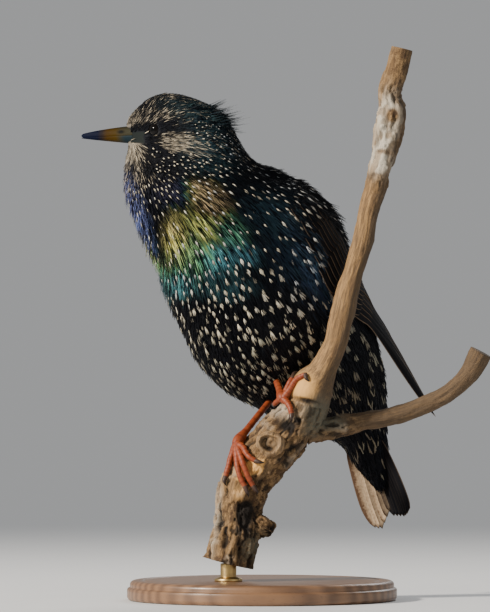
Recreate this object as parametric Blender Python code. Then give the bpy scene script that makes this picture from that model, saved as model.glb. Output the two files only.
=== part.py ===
"""A common starling at life size, perched on a short cut branch on a plain display stand.

The model is still. X runs to the right, Z up, and the bird's breast faces -Y. The origin is
the centre of the base's underside. Sizes below are in millimetres and become metres in the mesh.

The body is a stack of egg-shaped rings, from the crown down to the vent. Each ring runs from a
point on the throat and belly side to a point on the nape and back side. The head, neck, breast,
belly and vent are lengths of that one stack, so they meet face to face with a hair's gap.
"""

import math

import bmesh
import bpy
import numpy as np

# --- sizes, in millimetres -----------------------------------------------------------------
GAP = 0.3  # between pieces that touch

BASE_RADIUS = 54.0
BASE_HEIGHT = 8.0
ROD_RADIUS = 3.2
STEM_FOOT_Z = 15.2  # the branch is sawn off here

HEAD_TURN = math.radians(22.0)  # the bill points this far away from the viewer
BODY_YAW = math.radians(40.0)  # the breast is turned this far toward the viewer
BODY_PITCH = math.radians(54.0)

EYE_RADIUS = 3.1
EYE_LEVEL = np.array([-39.2, -13.0, 187.6])  # on the midline, level with the eyes
BILL_LENGTH = 35.6  # from the eye's level to the tip
BILL_ROOT = 14.2

RING_SIDES = 30
VANE_THICK = 0.5
LANE_PITCH = 3.1  # between flight feathers' middles on the folded wing
FLIGHT_LANES = 9
COVERTS = 5
TAIL_LENGTH = 47.5
TAIL_FEATHERS = 10
TAIL_ROOF = 2.6  # the outer feathers lie this much lower than the middle pair

HACKLE_LENGTH = 9.0
HACKLE_WIDTH = 2.2
HACKLE_RISE = 1.8
HACKLE_ROWS = ((1.4, 78.0, 7), (2.4, 80.0, 8), (3.4, 80.0, 8), (4.4, 80.0, 9), (5.3, 78.0, 9))
NAPE_ROWS = ((4.5, 40.0, 3), (5.8, 56.0, 4), (6.9, 62.0, 5))  # loose tips on the hind crown

# --- the frame of the body and of the head -------------------------------------------------
FORWARD = np.array(
    [
        -math.cos(BODY_PITCH) * math.cos(BODY_YAW),
        -math.cos(BODY_PITCH) * math.sin(BODY_YAW),
        math.sin(BODY_PITCH),
    ]
)
LEFT = np.array([math.sin(BODY_YAW), -math.cos(BODY_YAW), 0.0])
DORSAL = np.cross(FORWARD, LEFT)
BILL_WAY = np.array([-math.cos(HEAD_TURN), math.sin(HEAD_TURN), 0.0])
HEAD_LEFT = np.array([-math.sin(HEAD_TURN), -math.cos(HEAD_TURN), 0.0])
UP = np.array([0.0, 0.0, 1.0])

TAIL_WAY = np.array([0.335, 0.06, -0.94])
TAIL_LEFT = np.array([0.80, -0.55, 0.22])

# Rings of the body: throat-side X and Z, back-side X and Z, middle Y, half depth, egg, turn.
# Egg narrows the throat side. Turn goes from 1, the head's own frame, to 0, the body's.
RINGS = (
    ("crown", -38.9, 202.3, -34.6, 202.3, -14.2, 2.4, 0.1, 1.0),
    ("crown side", -42.8, 201.2, -30.8, 201.2, -14.6, 6.4, 0.2, 1.0),
    ("brow top", -45.9, 199.6, -26.2, 199.6, -15.0, 8.4, 0.3, 1.0),
    ("brow", -48.9, 197.2, -21.0, 197.2, -15.2, 9.6, 0.4, 1.0),
    ("forehead", -51.7, 194.4, -17.0, 194.4, -15.4, 10.3, 0.46, 1.0),
    ("lore top", -53.9, 191.2, -14.6, 191.2, -15.5, 10.8, 0.5, 1.0),
    ("eye", -54.8, 187.6, -12.4, 187.6, -15.6, 11.3, 0.5, 1.0),
    ("cheek", -54.5, 184.0, -10.4, 184.0, -15.8, 11.9, 0.46, 1.0),
    ("chin", -53.6, 180.2, -8.4, 180.2, -16.3, 13.0, 0.4, 1.0),
    ("throat", -54.4, 173.6, -6.4, 177.4, -16.0, 15.2, 0.34, 0.92),
    ("beard", -54.6, 167.2, -4.8, 175.4, -15.0, 18.0, 0.28, 0.82),
    ("beard tip", -53.7, 161.6, -2.0, 173.4, -13.5, 20.6, 0.22, 0.68),
    ("collar", -51.4, 156.0, 1.6, 171.6, -11.5, 23.4, 0.16, 0.52),
    ("neck foot", -48.2, 148.4, 6.0, 170.4, -9.0, 26.4, 0.1, 0.34),
    ("shoulder", -44.8, 141.2, 11.2, 167.8, -6.3, 29.4, 0.04, 0.16),
    ("breast", -40.8, 132.0, 17.2, 164.0, -3.5, 31.8, 0.0, 0.0),
    ("keel", -36.8, 120.0, 25.2, 153.6, 1.3, 34.0, 0.0, 0.0),
    ("belly top", -31.6, 107.6, 30.8, 142.0, 6.1, 34.4, 0.0, 0.0),
    ("belly", -25.2, 94.8, 36.0, 128.4, 11.5, 32.4, 0.0, 0.0),
    ("belly foot", -15.2, 84.8, 42.0, 116.4, 16.5, 27.6, 0.0, 0.0),
    ("flank", -2.8, 78.0, 46.0, 103.2, 21.3, 22.4, 0.0, 0.0),
    ("vent top", 11.2, 70.4, 48.8, 90.8, 26.1, 16.8, 0.0, 0.0),
    ("vent", 26.8, 64.8, 50.0, 78.4, 30.6, 10.8, 0.0, 0.0),
)
RING = {row[0]: place for place, row in enumerate(RINGS)}
DORSAL_TURN = math.radians(34.2)  # the back's middle line, as an angle on a body ring


# The branch, from its sawn foot up the stem and the tall limb: place and radius.
BRANCH = (
    (-13.4, -12.0, STEM_FOOT_Z, 9.8), (-12.4, -12.0, 19.2, 9.5), (-9.9, -12.0, 28.8, 9.4),
    (-9.2, -12.0, 37.6, 8.9), (-7.2, -12.0, 45.2, 9.4), (-2.4, -12.4, 53.2, 9.8),
    (4.0, -13.0, 61.2, 10.2), (11.2, -13.8, 68.8, 9.6), (17.0, -15.0, 76.0, 8.8),
    (20.0, -16.6, 85.2, 7.2), (24.0, -18.6, 92.0, 5.6), (28.0, -20.6, 100.0, 4.7),
    (31.4, -22.4, 112.8, 4.6), (34.0, -21.8, 124.0, 4.3), (37.2, -20.6, 134.0, 4.0),
    (40.0, -19.2, 143.2, 4.0), (42.0, -18.0, 154.0, 4.0), (44.4, -17.0, 162.8, 4.4),
    (46.4, -16.5, 171.2, 4.8), (48.8, -16.0, 179.2, 5.2), (50.4, -16.0, 188.0, 5.8),
    (51.6, -16.0, 195.2, 6.0), (50.8, -15.5, 200.8, 5.0), (53.2, -15.0, 210.0, 4.4),
    (55.6, -15.0, 220.0, 4.0),
)
FORK_SHARE = 0.345  # where the tall limb starts, as a share of the branch's length
SIDE_LIMB = (
    (18.0, -14.0, 68.0, 4.6), (25.0, -13.0, 68.4, 4.4), (32.0, -11.0, 69.4, 4.1),
    (39.2, -9.0, 71.4, 3.6), (50.0, -7.0, 73.2, 3.8), (63.2, -6.0, 77.4, 3.6),
    (75.2, -7.0, 83.6, 3.6), (83.2, -8.0, 91.6, 4.0), (87.2, -9.0, 99.2, 4.6),
)

# --- small tools ---------------------------------------------------------------------------
def unit(vector):
    """The vector at length one."""
    vector = np.asarray(vector, float)
    return vector / np.linalg.norm(vector, axis=-1, keepdims=True)


def read_curve(marks, rows, at):
    """Rows of numbers read smoothly at the places in at, given their marks along a line."""
    marks, rows, at = np.asarray(marks, float), np.asarray(rows, float), np.asarray(at, float)
    slopes = np.gradient(rows, marks, axis=0)
    low = np.clip(np.searchsorted(marks, at, side="right") - 1, 0, len(marks) - 2)
    span = marks[low + 1] - marks[low]
    t = ((at - marks[low]) / span)[:, None]
    span = span[:, None]
    return (
        rows[low] * (2 * t**3 - 3 * t**2 + 1)
        + slopes[low] * span * (t**3 - 2 * t**2 + t)
        + rows[low + 1] * (3 * t**2 - 2 * t**3)
        + slopes[low + 1] * span * (t**3 - t**2)
    )


def along(rows, count):
    """A smooth curve through rows, whose first three numbers are a place, in even steps."""
    rows = np.asarray(rows, float)
    steps = np.linalg.norm(np.diff(rows[:, :3], axis=0), axis=1)
    marks = np.concatenate(([0.0], np.cumsum(steps)))
    return read_curve(marks, rows, np.linspace(0.0, marks[-1], count))


def make_material(name, colour, roughness, metallic=0.0):
    """A plain finish."""
    material = bpy.data.materials.new(name)
    material.use_nodes = True
    shader = material.node_tree.nodes["Principled BSDF"]
    shader.inputs["Base Color"].default_value = (*colour, 1.0)
    shader.inputs["Roughness"].default_value = roughness
    shader.inputs["Metallic"].default_value = metallic
    return material


def make_object(name, points, faces, material=None):
    """A mesh object from points in millimetres, with its faces turned outward."""
    mesh = bpy.data.meshes.new(name)
    mesh.from_pydata([tuple(p) for p in np.asarray(points) * 0.001], [], faces)
    work = bmesh.new()
    work.from_mesh(mesh)
    bmesh.ops.triangulate(work, faces=work.faces[:])
    bmesh.ops.recalc_face_normals(work, faces=work.faces[:])
    if work.calc_volume(signed=True) < 0:
        bmesh.ops.reverse_faces(work, faces=work.faces[:])
    work.to_mesh(mesh)
    work.free()
    mesh.shade_smooth()
    mesh.set_sharp_from_angle(angle=math.radians(40))
    piece = bpy.data.objects.new(name, mesh)
    bpy.context.scene.collection.objects.link(piece)
    if material is not None:
        mesh.materials.append(material)
    return piece


def loft(name, rings, material=None):
    """A closed solid through rings of equal size, with a fan of faces over each end."""
    rings = [np.asarray(ring, float) for ring in rings]
    sides = len(rings[0])
    points = np.concatenate(rings + [rings[0].mean(0)[None], rings[-1].mean(0)[None]])
    first, last = len(points) - 2, len(points) - 1
    faces = []
    for level in range(len(rings) - 1):
        for side in range(sides):
            a = level * sides + side
            b = level * sides + (side + 1) % sides
            faces.append((a, b, b + sides, a + sides))
    top = (len(rings) - 1) * sides
    for side in range(sides):
        after = (side + 1) % sides
        faces.append((first, after, side))
        faces.append((last, top + side, top + after))
    return make_object(name, points, faces, material)


def circle(centre, first, second, sides, phase=0.0):
    """Points of an ellipse round a centre, between two half axes."""
    angles = np.arange(sides) / sides * 2 * math.pi + phase
    return (
        np.asarray(centre)
        + np.cos(angles)[:, None] * np.asarray(first)
        + np.sin(angles)[:, None] * np.asarray(second)
    )


def tube(name, rows, sides, steps, material=None, flatten=1.0, side_hint=UP):
    """A round rod along a smooth curve. Each row is a place and a radius."""
    curve = along(rows, steps)
    ways = unit(np.gradient(curve[:, :3], axis=0))
    rings = []
    for (x, y, z, radius), way in zip(curve, ways):
        across = unit(np.cross(way, side_hint))
        other = np.cross(across, way)
        rings.append(circle((x, y, z), across * radius, other * radius * flatten, sides))
    return loft(name, rings, material)


def ball(name, centre, radii, axes, sides=16, levels=8, material=None):
    """An egg shape with its own three half axes."""
    centre, axes = np.asarray(centre, float), [unit(a) for a in axes]
    rings = []
    for tilt in np.linspace(-math.pi / 2 + 0.22, math.pi / 2 - 0.22, levels):
        middle = centre + axes[2] * radii[2] * math.sin(tilt)
        width = math.cos(tilt)
        rings.append(circle(middle, axes[0] * radii[0] * width, axes[1] * radii[1] * width, sides))
    piece = loft(name, rings, material)
    return piece


def drop(objects):
    """Removes helper objects."""
    for piece in list(objects):
        bpy.data.objects.remove(piece, do_unlink=True)


def keep_largest(piece):
    """Leaves only the largest closed surface of a mesh."""
    work = bmesh.new()
    work.from_mesh(piece.data)
    work.faces.ensure_lookup_table()
    seen, groups = set(), []
    for face in work.faces:
        if face.index in seen:
            continue
        group, stack = [], [face]
        seen.add(face.index)
        while stack:
            here = stack.pop()
            group.append(here)
            for edge in here.edges:
                for other in edge.link_faces:
                    if other.index not in seen:
                        seen.add(other.index)
                        stack.append(other)
        groups.append(group)
    groups.sort(key=len, reverse=True)
    spare = [face for group in groups[1:] for face in group]
    if spare:
        bmesh.ops.delete(work, geom=spare, context="FACES")
        loose = [v for v in work.verts if not v.link_faces]
        bmesh.ops.delete(work, geom=loose, context="VERTS")
    bmesh.ops.triangulate(work, faces=work.faces[:])
    work.to_mesh(piece.data)
    work.free()


def apply_modifiers(piece):
    """Turns the evaluated mesh into the object's own."""
    graph = bpy.context.evaluated_depsgraph_get()
    mesh = bpy.data.meshes.new_from_object(piece.evaluated_get(graph))
    piece.modifiers.clear()
    piece.data = mesh


def combine(piece, others, operation, solver="EXACT"):
    """One Boolean with a collection of closed meshes, which are removed afterwards."""
    others = list(others)
    if not others:
        return piece
    group = bpy.data.collections.new("operands")
    for other in others:
        group.objects.link(other)
    modifier = piece.modifiers.new("combine", "BOOLEAN")
    modifier.operation = operation
    modifier.operand_type = "COLLECTION"
    modifier.collection = group
    modifier.solver = solver
    apply_modifiers(piece)
    drop(others)
    bpy.data.collections.remove(group)
    keep_largest(piece)
    piece.data.shade_smooth()
    piece.data.set_sharp_from_angle(angle=math.radians(40))
    return piece


# --- the body's rings ----------------------------------------------------------------------
BODY_CHORD = unit([DORSAL[0] * math.cos(DORSAL_TURN) + LEFT[0] * math.sin(DORSAL_TURN), 0.0,
                   DORSAL[2] * math.cos(DORSAL_TURN)])
BODY_SIDE = np.cross(FORWARD, BODY_CHORD)
HEAD_CHORD = -BILL_WAY
HEAD_SIDE = -HEAD_LEFT


def ring_rows():
    """For each ring: middle, half chord vector, half depth vector and egg."""
    rows = []
    for _, x0, z0, x1, z1, y, depth, egg, turn in RINGS:
        low, high = np.array([x0, y, z0]), np.array([x1, y, z1])
        middle = (low + high) / 2
        chord = unit(BODY_CHORD * (1 - turn) + HEAD_CHORD * turn)
        lean = unit([high[0] - low[0], 0.0, high[2] - low[2]])
        flat = math.hypot(chord[0], chord[2])
        chord = np.array([lean[0] * flat, chord[1], lean[2] * flat])
        side = BODY_SIDE * (1 - turn) + HEAD_SIDE * turn
        side = unit(side - chord * (side @ chord))
        half = np.linalg.norm(high - low) / 2 / flat
        rows.append(np.concatenate((middle, chord * half, side * depth, [egg])))
    return np.array(rows)


BODY_ROWS = ring_rows()


def body_frame(at):
    """The ring at a place along the stack, as middle, chord, side and egg."""
    row = read_curve(np.arange(len(RINGS)), BODY_ROWS, [at])[0]
    return row[:3], row[3:6], row[6:9], row[9]


def body_ring(at, grow=0.0, sides=RING_SIDES):
    """Points of one ring. Angle 0 is the back side and half a turn is the throat side."""
    middle, chord, side, egg = body_frame(at)
    chord = chord * (1 + grow / np.linalg.norm(chord))
    side = side * (1 + grow / np.linalg.norm(side))
    angles = np.arange(sides) / sides * 2 * math.pi
    narrow = 1 + egg * np.cos(angles)
    return middle + np.cos(angles)[:, None] * chord + (np.sin(angles) * narrow)[:, None] * side


def on_body(at, degrees, out):
    """A place on the trunk's surface. Degrees run from the back's middle to the bird's left."""
    middle, chord, side, _ = body_frame(at)
    angle = DORSAL_TURN - math.radians(degrees)
    way = math.cos(angle) * chord + math.sin(angle) * side
    return middle + way * (1 + out / np.linalg.norm(way))


def body_length(name, start, end, material, steps, grow=0.0):
    """One length of the body's stack, from ring start to ring end."""
    rings = [body_ring(at, grow) for at in np.linspace(start, end, steps)]
    return loft(name, rings, material)


def head_place(forward, left, up):
    """A place in the head's own frame, from the midline at eye level."""
    return EYE_LEVEL + BILL_WAY * forward + HEAD_LEFT * left + UP * up


def branch_frame(share):
    """Middle, way, radius, side facing the viewer and upper left side of the branch."""
    curve = along(BRANCH, 401)
    spot = min(max(share, 0.0), 1.0) * 400
    low = min(int(spot), 399)
    part = spot - low
    row = curve[low] * (1 - part) + curve[low + 1] * part
    ahead, behind = curve[min(low + 4, 400), :3], curve[max(low - 3, 0), :3]
    way = unit(ahead - behind)
    front = np.array([0.0, -1.0, 0.0])
    front = unit(front - way * (front @ way))
    return row[:3], way, row[3], front, np.cross(front, way)


def branch_rings(start, end, steps, sides, grow=0.0):
    """Rings of the branch with a slight uneven girth, level at the sawn foot."""
    rings = []
    for share in np.linspace(start, end, steps):
        middle, way, radius, front, side = branch_frame(share)
        angles = np.arange(sides) / sides * 2 * math.pi
        bump = 1 + 0.035 * np.sin(3 * angles + 40 * share) + 0.02 * np.sin(5 * angles - 90 * share)
        reach = (radius * bump + grow)[:, None]
        ring = middle + reach * (np.cos(angles)[:, None] * front + np.sin(angles)[:, None] * side)
        if share < 0.004:
            ring[:, 2] = middle[2]
        rings.append(ring)
    return rings


def on_branch(share, degrees, out):
    """A place out from the bark. Degrees run from the viewer's side to the upper left."""
    middle, _, radius, front, side = branch_frame(share)
    angle = math.radians(degrees)
    return middle + (radius * 1.05 + out) * (math.cos(angle) * front + math.sin(angle) * side)


# --- parts ---------------------------------------------------------------------------------
def build_materials():
    """The plain finishes of the parts."""
    return {
        "plumage": make_material("plumage", (0.03, 0.035, 0.035), 0.5),
        "flight": make_material("flight feathers", (0.07, 0.055, 0.045), 0.6),
        "bill_dark": make_material("bill", (0.10, 0.10, 0.12), 0.4),
        "bill_pale": make_material("bill edge", (0.45, 0.33, 0.12), 0.4),
        "eye": make_material("eye", (0.01, 0.008, 0.006), 0.08),
        "leg": make_material("leg", (0.55, 0.16, 0.06), 0.5),
        "claw": make_material("claw", (0.12, 0.07, 0.05), 0.4),
        "bark": make_material("bark", (0.42, 0.33, 0.25), 0.85),
        "wood": make_material("turned wood", (0.30, 0.19, 0.11), 0.45),
        "rod": make_material("rod", (0.55, 0.45, 0.25), 0.3, 1.0),
    }


def bill_rings(upper, grow=0.0):
    """Rings of one half of the bill, from inside the head to the tip."""
    rows = []
    root = BILL_ROOT - 2.4
    for share in np.linspace(0.0, 1.0, 7):
        forward = root + (BILL_LENGTH - root) * share
        taper = 1 - share
        half_width = 0.55 + 3.3 * taper**1.15 + grow
        top = -0.2 + 2.2 * taper**0.8 - 1.1 * (1 - taper) ** 2
        line = -2.0 - 0.6 * share
        bottom = -2.4 - 3.0 * taper**0.9 - 0.55 * share
        if upper:
            low, high = line + GAP / 2 - grow, max(top, line + 0.9) + grow
        else:
            low, high = bottom - grow, line - GAP / 2 + grow
        angles = np.arange(12) / 12 * 2 * math.pi
        across, rise = np.cos(angles), np.sin(angles)
        rise = np.where(rise < 0, rise * 0.06, rise) if upper else np.where(
            rise > 0, rise * 0.06, rise)
        rise = rise + 0.06 if upper else rise - 0.06
        size = (high - low) / 1.06
        start = low if upper else high
        ring = [head_place(forward, c * half_width, start + r * size) for c, r in zip(across, rise)]
        rows.append(np.array(ring))
    return rows


def build_head(finish):
    """The head with its lids, sockets and gape, the two halves of the bill and the eyes."""
    head = body_length("head", 0.0, RING["chin"] - 0.04, finish["plumage"], 14)
    eyes = {}
    for side, sign in (("left", 1.0), ("right", -1.0)):
        centre = head_place(0.0, sign * 6.9, 0.0)
        eyes[side] = centre
        way = unit(HEAD_LEFT * sign + BILL_WAY * 0.22)
        across = unit(np.cross(way, UP))
        lid_rings = []
        for angle in np.arange(12) / 12 * 2 * math.pi:
            spoke = across * math.cos(angle) + np.cross(across, way) * math.sin(angle) * 0.9
            spot = centre + way * 2.0 + spoke * 2.75
            lid_rings.append(circle(spot, unit(spoke) * 0.7, way * 0.75, 5))
        points = np.concatenate(lid_rings)
        faces = []
        for level in range(12):
            for point in range(5):
                a = level * 5 + point
                b = level * 5 + (point + 1) % 5
                c = ((level + 1) % 12) * 5
                faces.append((a, b, c + (point + 1) % 5, c + point))
        lid = make_object("lid", points, faces)
        combine(head, [lid], "UNION")
        socket = ball("socket", centre, [EYE_RADIUS + GAP] * 3, (across, UP, way), 14, 8)
        combine(head, [socket], "DIFFERENCE")
        ball("eye_" + side, centre, [EYE_RADIUS] * 3, (across, UP, way), 14, 8, finish["eye"])
    for sign in (1.0, -1.0):  # the mouth's line runs on into the cheek
        gape = ball("gape", head_place(12.2, sign * 4.6, -2.3), (2.6, 1.6, 0.4),
                    (BILL_WAY, HEAD_LEFT, UP), 8, 4)
        combine(head, [gape], "DIFFERENCE")
    sockets = [loft("bill socket", bill_rings(upper, GAP)) for upper in (True, False)]
    for piece in sockets:
        combine(head, [piece], "DIFFERENCE")
    tips = []
    for at, spread, count in NAPE_ROWS:
        for place in range(count):
            share = place / (count - 1) * 2 - 1
            tips.append(hackle("tip", at, share * spread, 6.5, 2.0, 1.6))
    combine(head, tips, "UNION")
    upper = loft("bill_upper", bill_rings(True), finish["bill_dark"])
    nostrils = [ball("nostril", head_place(17.6, sign * 3.05, -0.5), (1.0, 0.5, 0.45),
                     (BILL_WAY, HEAD_LEFT, UP), 8, 4) for sign in (1.0, -1.0)]
    combine(upper, nostrils, "DIFFERENCE")
    loft("bill_lower", bill_rings(False), finish["bill_pale"])
    return head


def wing_grid(sign, steps, across):
    """The middle surface of a folded wing, from the shoulder to the tip, lower edge first."""
    tip_left = 10.0 if sign > 0 else -10.5
    tip_back = 28.0 if sign > 0 else 23.0
    vent, _, _, _ = body_frame(RING["vent"])
    tip = vent + FORWARD * (-0.72 * tip_back) + DORSAL * tip_back + LEFT * tip_left
    out = 2.2
    marks = [0.0, 0.12, 0.26, 0.42, 0.56, 0.70, 1.0]
    rings = [RING["shoulder"] + 0.2, RING["breast"] + 0.2, RING["keel"] + 0.3,
             RING["belly top"] + 0.4, RING["belly"] + 0.35, RING["belly foot"] + 0.05]
    lower = [72, 84, 88, 86, 74, 62]
    upper = [40, 19, 11, 8, 7, 6]
    edge_low = [on_body(r, sign * a, out) for r, a in zip(rings, lower)]
    edge_high = [on_body(r + 0.25, sign * a, out) for r, a in zip(rings, upper)]
    middle = [on_body(r, sign * (a + b) / 2, out) for r, a, b in zip(rings, lower, upper)]
    inner = tip - LEFT * sign * 3.0 + DORSAL * 0.5 + FORWARD * 4
    edge_low.append(tip)
    edge_high.append(inner)
    middle.append((tip + inner) / 2)
    at = np.linspace(0.0, 1.0, steps)
    low, high = read_curve(marks, edge_low, at), read_curve(marks, edge_high, at)
    centre = read_curve(marks, middle, at)
    rows = []
    for v in np.linspace(0.0, 1.0, across):
        rows.append(
            low * (2 * (v - 0.5) * (v - 1)) + centre * (4 * v * (1 - v)) + high * (2 * v * (v - 0.5))
        )
    return np.stack(rows, axis=1)


def thicken(name, grid, thickness, outward, material):
    """A closed plate on both sides of a grid of places, thinner toward its edges."""
    steps, across = grid.shape[:2]
    run = np.gradient(grid, axis=0)
    side = np.gradient(grid, axis=1)
    normal = unit(np.cross(run, side))
    if np.sum(normal[steps // 2, across // 2] * outward) < 0:
        normal = -normal
    half = thickness[..., None] / 2
    points = np.concatenate(
        ((grid + normal * half).reshape(-1, 3), (grid - normal * half).reshape(-1, 3))
    )
    count = steps * across
    faces = []
    for i in range(steps - 1):
        for j in range(across - 1):
            a, b = i * across + j, i * across + j + 1
            c, d = b + across, a + across
            faces += [(a, b, c), (a, c, d)]
            faces += [(a + count, c + count, b + count), (a + count, d + count, c + count)]
    rim = [(i, 0) for i in range(steps)] + [(steps - 1, j) for j in range(1, across)]
    rim += [(i, across - 1) for i in range(steps - 2, -1, -1)]
    rim += [(0, j) for j in range(across - 2, 0, -1)]
    for (i0, j0), (i1, j1) in zip(rim, rim[1:] + rim[:1]):
        a, b = i0 * across + j0, i1 * across + j1
        faces += [(a, b, b + count), (a, b + count, a + count)]
    return make_object(name, points, faces, material)


def vane(name, middle, across, normal, widths, thick=VANE_THICK):
    """A flat tapered feather along places, with a width at each, split alike on both faces."""
    half = np.asarray(widths)[:, None] / 2
    lift = normal * thick / 2
    corners = [middle - across * half + lift, middle + across * half + lift,
               middle + across * half - lift, middle - across * half - lift]
    steps = len(middle)
    points = np.stack(corners, axis=1).reshape(-1, 3)
    faces = [(0, 1, 2), (0, 2, 3)]
    for i in range(steps - 1):
        for j in range(4):
            a, b = i * 4 + j, i * 4 + (j + 1) % 4
            c, d = b + 4, a + 4
            faces += [(a, d, b), (b, d, c)] if j == 2 else [(a, c, b), (a, d, c)]
    last = (steps - 1) * 4
    faces += [(last, last + 2, last + 1), (last, last + 3, last + 2)]
    return make_object(name, points, faces)


class WingSurface:
    """A folded wing's middle surface, read by share of its length and distance from its edge."""

    def __init__(self, sign):
        self.sign = sign
        self.grid = wing_grid(sign, 81, 21)
        steps = np.linalg.norm(np.diff(self.grid, axis=1), axis=2)
        self.reach = np.concatenate((np.zeros((81, 1)), np.cumsum(steps, axis=1)), axis=1)
        normal = unit(np.cross(np.gradient(self.grid, axis=0), np.gradient(self.grid, axis=1)))
        if np.sum(normal[20, 10] * LEFT * sign) < 0:
            normal = -normal
        self.normal = normal

    def width(self, share):
        """The wing's width across at a share of its length."""
        return float(np.interp(share * 80, np.arange(81), self.reach[:, -1]))

    def at(self, share, distance):
        """The place and the outward way at a share of the length, in from the lower edge."""
        spot = min(max(share, 0.0), 1.0) * 80
        low = min(int(spot), 79)
        part = spot - low
        found = []
        for field in (self.grid, self.normal):
            ends = []
            for row in (low, low + 1):
                ends.append([np.interp(distance, self.reach[row], field[row][:, k])
                             for k in range(3)])
            found.append(np.array(ends[0]) * (1 - part) + np.array(ends[1]) * part)
        return found[0], unit(found[1])

    def feather(self, name, distance, start, end, width, tilt, out, steps=6, point=0.35):
        """One vane lying in its lane on the wing, tilted like a shingle over the next."""
        shares = np.linspace(start, end, steps)
        middle, normals = [], []
        lifts = out * np.clip(np.linspace(0.0, 3.0, steps), 0.15, 1.0)
        for share, lift in zip(shares, lifts):
            place, normal = self.at(share, distance)
            middle.append(place + normal * lift)
            normals.append(normal)
        middle, normals = np.array(middle), np.array(normals)
        ways = unit(np.gradient(middle, axis=0))
        across = unit(np.cross(normals, ways)) * self.sign
        across = unit(across * math.cos(tilt) + normals * math.sin(tilt))
        normals = unit(np.cross(ways, across)) * self.sign
        t = np.linspace(0, 1, steps)
        widths = width * (0.75 + 0.25 * np.minimum(t * 3, 1.0)) * np.where(t > 0.999, point, 1.0)
        widths[-2] *= 0.96
        return vane(name, middle, across, normals, widths)


def build_wing(side, sign, finish):
    """A folded wing: a core of small coverts with flight feathers and coverts in tiers."""
    surface = WingSurface(sign)
    steps, across = 11, 8
    grid = wing_grid(sign, 81, 11)[:45:6][:, ::2]
    steps, across = grid.shape[:2]
    along_share = np.linspace(0, 1, steps)[:, None]
    across_share = np.linspace(-1, 1, across)[None, :]
    thick = (1.2 + 1.9 * (1 - along_share) ** 0.7) * (1 - 0.4 * across_share**2)
    wing = thicken("wing_" + side, grid, thick, LEFT * sign, finish["flight"])
    feathers = []
    # flight feathers, from the leading edge, which reaches the wing's tip, toward the back
    for lane in range(FLIGHT_LANES):
        distance = 1.3 + lane * LANE_PITCH
        end = 1.0
        while end > 0.6 and surface.width(end) < distance + 0.6:
            end -= 0.005
        feathers.append(surface.feather("flight", distance, 0.52, end, LANE_PITCH * 1.4,
                                        math.radians(-17), 0.1, 6))
    # tertials over the inner flight feathers
    for count, (share_in, end) in enumerate(((0.60, 0.80), (0.74, 0.745), (0.88, 0.69))):
        distance = surface.width(0.55) * share_in
        feathers.append(surface.feather("tertial", distance, 0.46, end, 7.0,
                                        math.radians(-9), 1.5, 5, 0.45))
    # greater coverts over the roots
    for count in range(COVERTS):
        distance = 3.2 + count * 5.0
        feathers.append(surface.feather("covert", distance, 0.42 - 0.004 * count,
                                        0.60 - 0.012 * count, 6.2, math.radians(-10), 1.35, 4, 0.5))
    combine(wing, feathers, "UNION")
    core = body_length("core", RING["chin"], RING["vent"], None, 40, GAP + 0.15)
    combine(wing, [core], "DIFFERENCE")
    return wing


def hackle(name, at, degrees, length, width, rise, root=1.2):
    """A flat tapered lock rooted in the neck, lying down the body with its tip standing out."""
    angle = math.radians(degrees)
    places = []
    middle, chord, side, egg = body_frame(at)
    radial = unit(math.cos(angle) * chord + math.sin(angle) * side)
    ahead, ahead_chord, ahead_side, ahead_egg = body_frame(at + 1.0)
    here = middle + math.cos(angle) * chord + math.sin(angle) * (1 + egg * math.cos(angle)) * side
    there = (ahead + math.cos(angle) * ahead_chord
             + math.sin(angle) * (1 + ahead_egg * math.cos(angle)) * ahead_side)
    way = unit(there - here)
    out = unit(radial - way * (radial @ way))
    across = unit(np.cross(out, way))
    for share, lift, wide in ((0.0, -root, 0.8), (0.5, rise * 0.4, 1.0), (1.0, rise, 0.2)):
        spot = here + way * length * share + out * lift
        half = width / 2 * wide
        places.append(np.array([spot - across * half, spot + across * half, spot - out * 0.75]))
    return loft(name, places)


def build_body(finish):
    """Neck, breast, belly and vent as lengths of the stack, with the throat's hackles."""
    neck = body_length("neck", RING["chin"] + 0.04, RING["shoulder"] - 0.03, finish["plumage"], 10)
    locks = []
    for row, (at, spread, count) in enumerate(HACKLE_ROWS):
        for place in range(count):
            share = (place + 0.5 * (row % 2)) / (count - 0.5) * 2 - 1
            locks.append(hackle("hackle", RING["chin"] + at, 182 + 4.5 * at + share * spread,
                                HACKLE_LENGTH, HACKLE_WIDTH, HACKLE_RISE))
    combine(neck, locks, "UNION")
    body_length("breast", RING["shoulder"] + 0.03, RING["belly top"] - 0.02,
                finish["plumage"], 8)
    body_length("belly", RING["belly top"] + 0.02, RING["belly foot"] - 0.02,
                finish["plumage"], 6)
    body_length("vent", RING["belly foot"] + 0.02, RING["vent"] - 0.03, finish["plumage"], 7)


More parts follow.
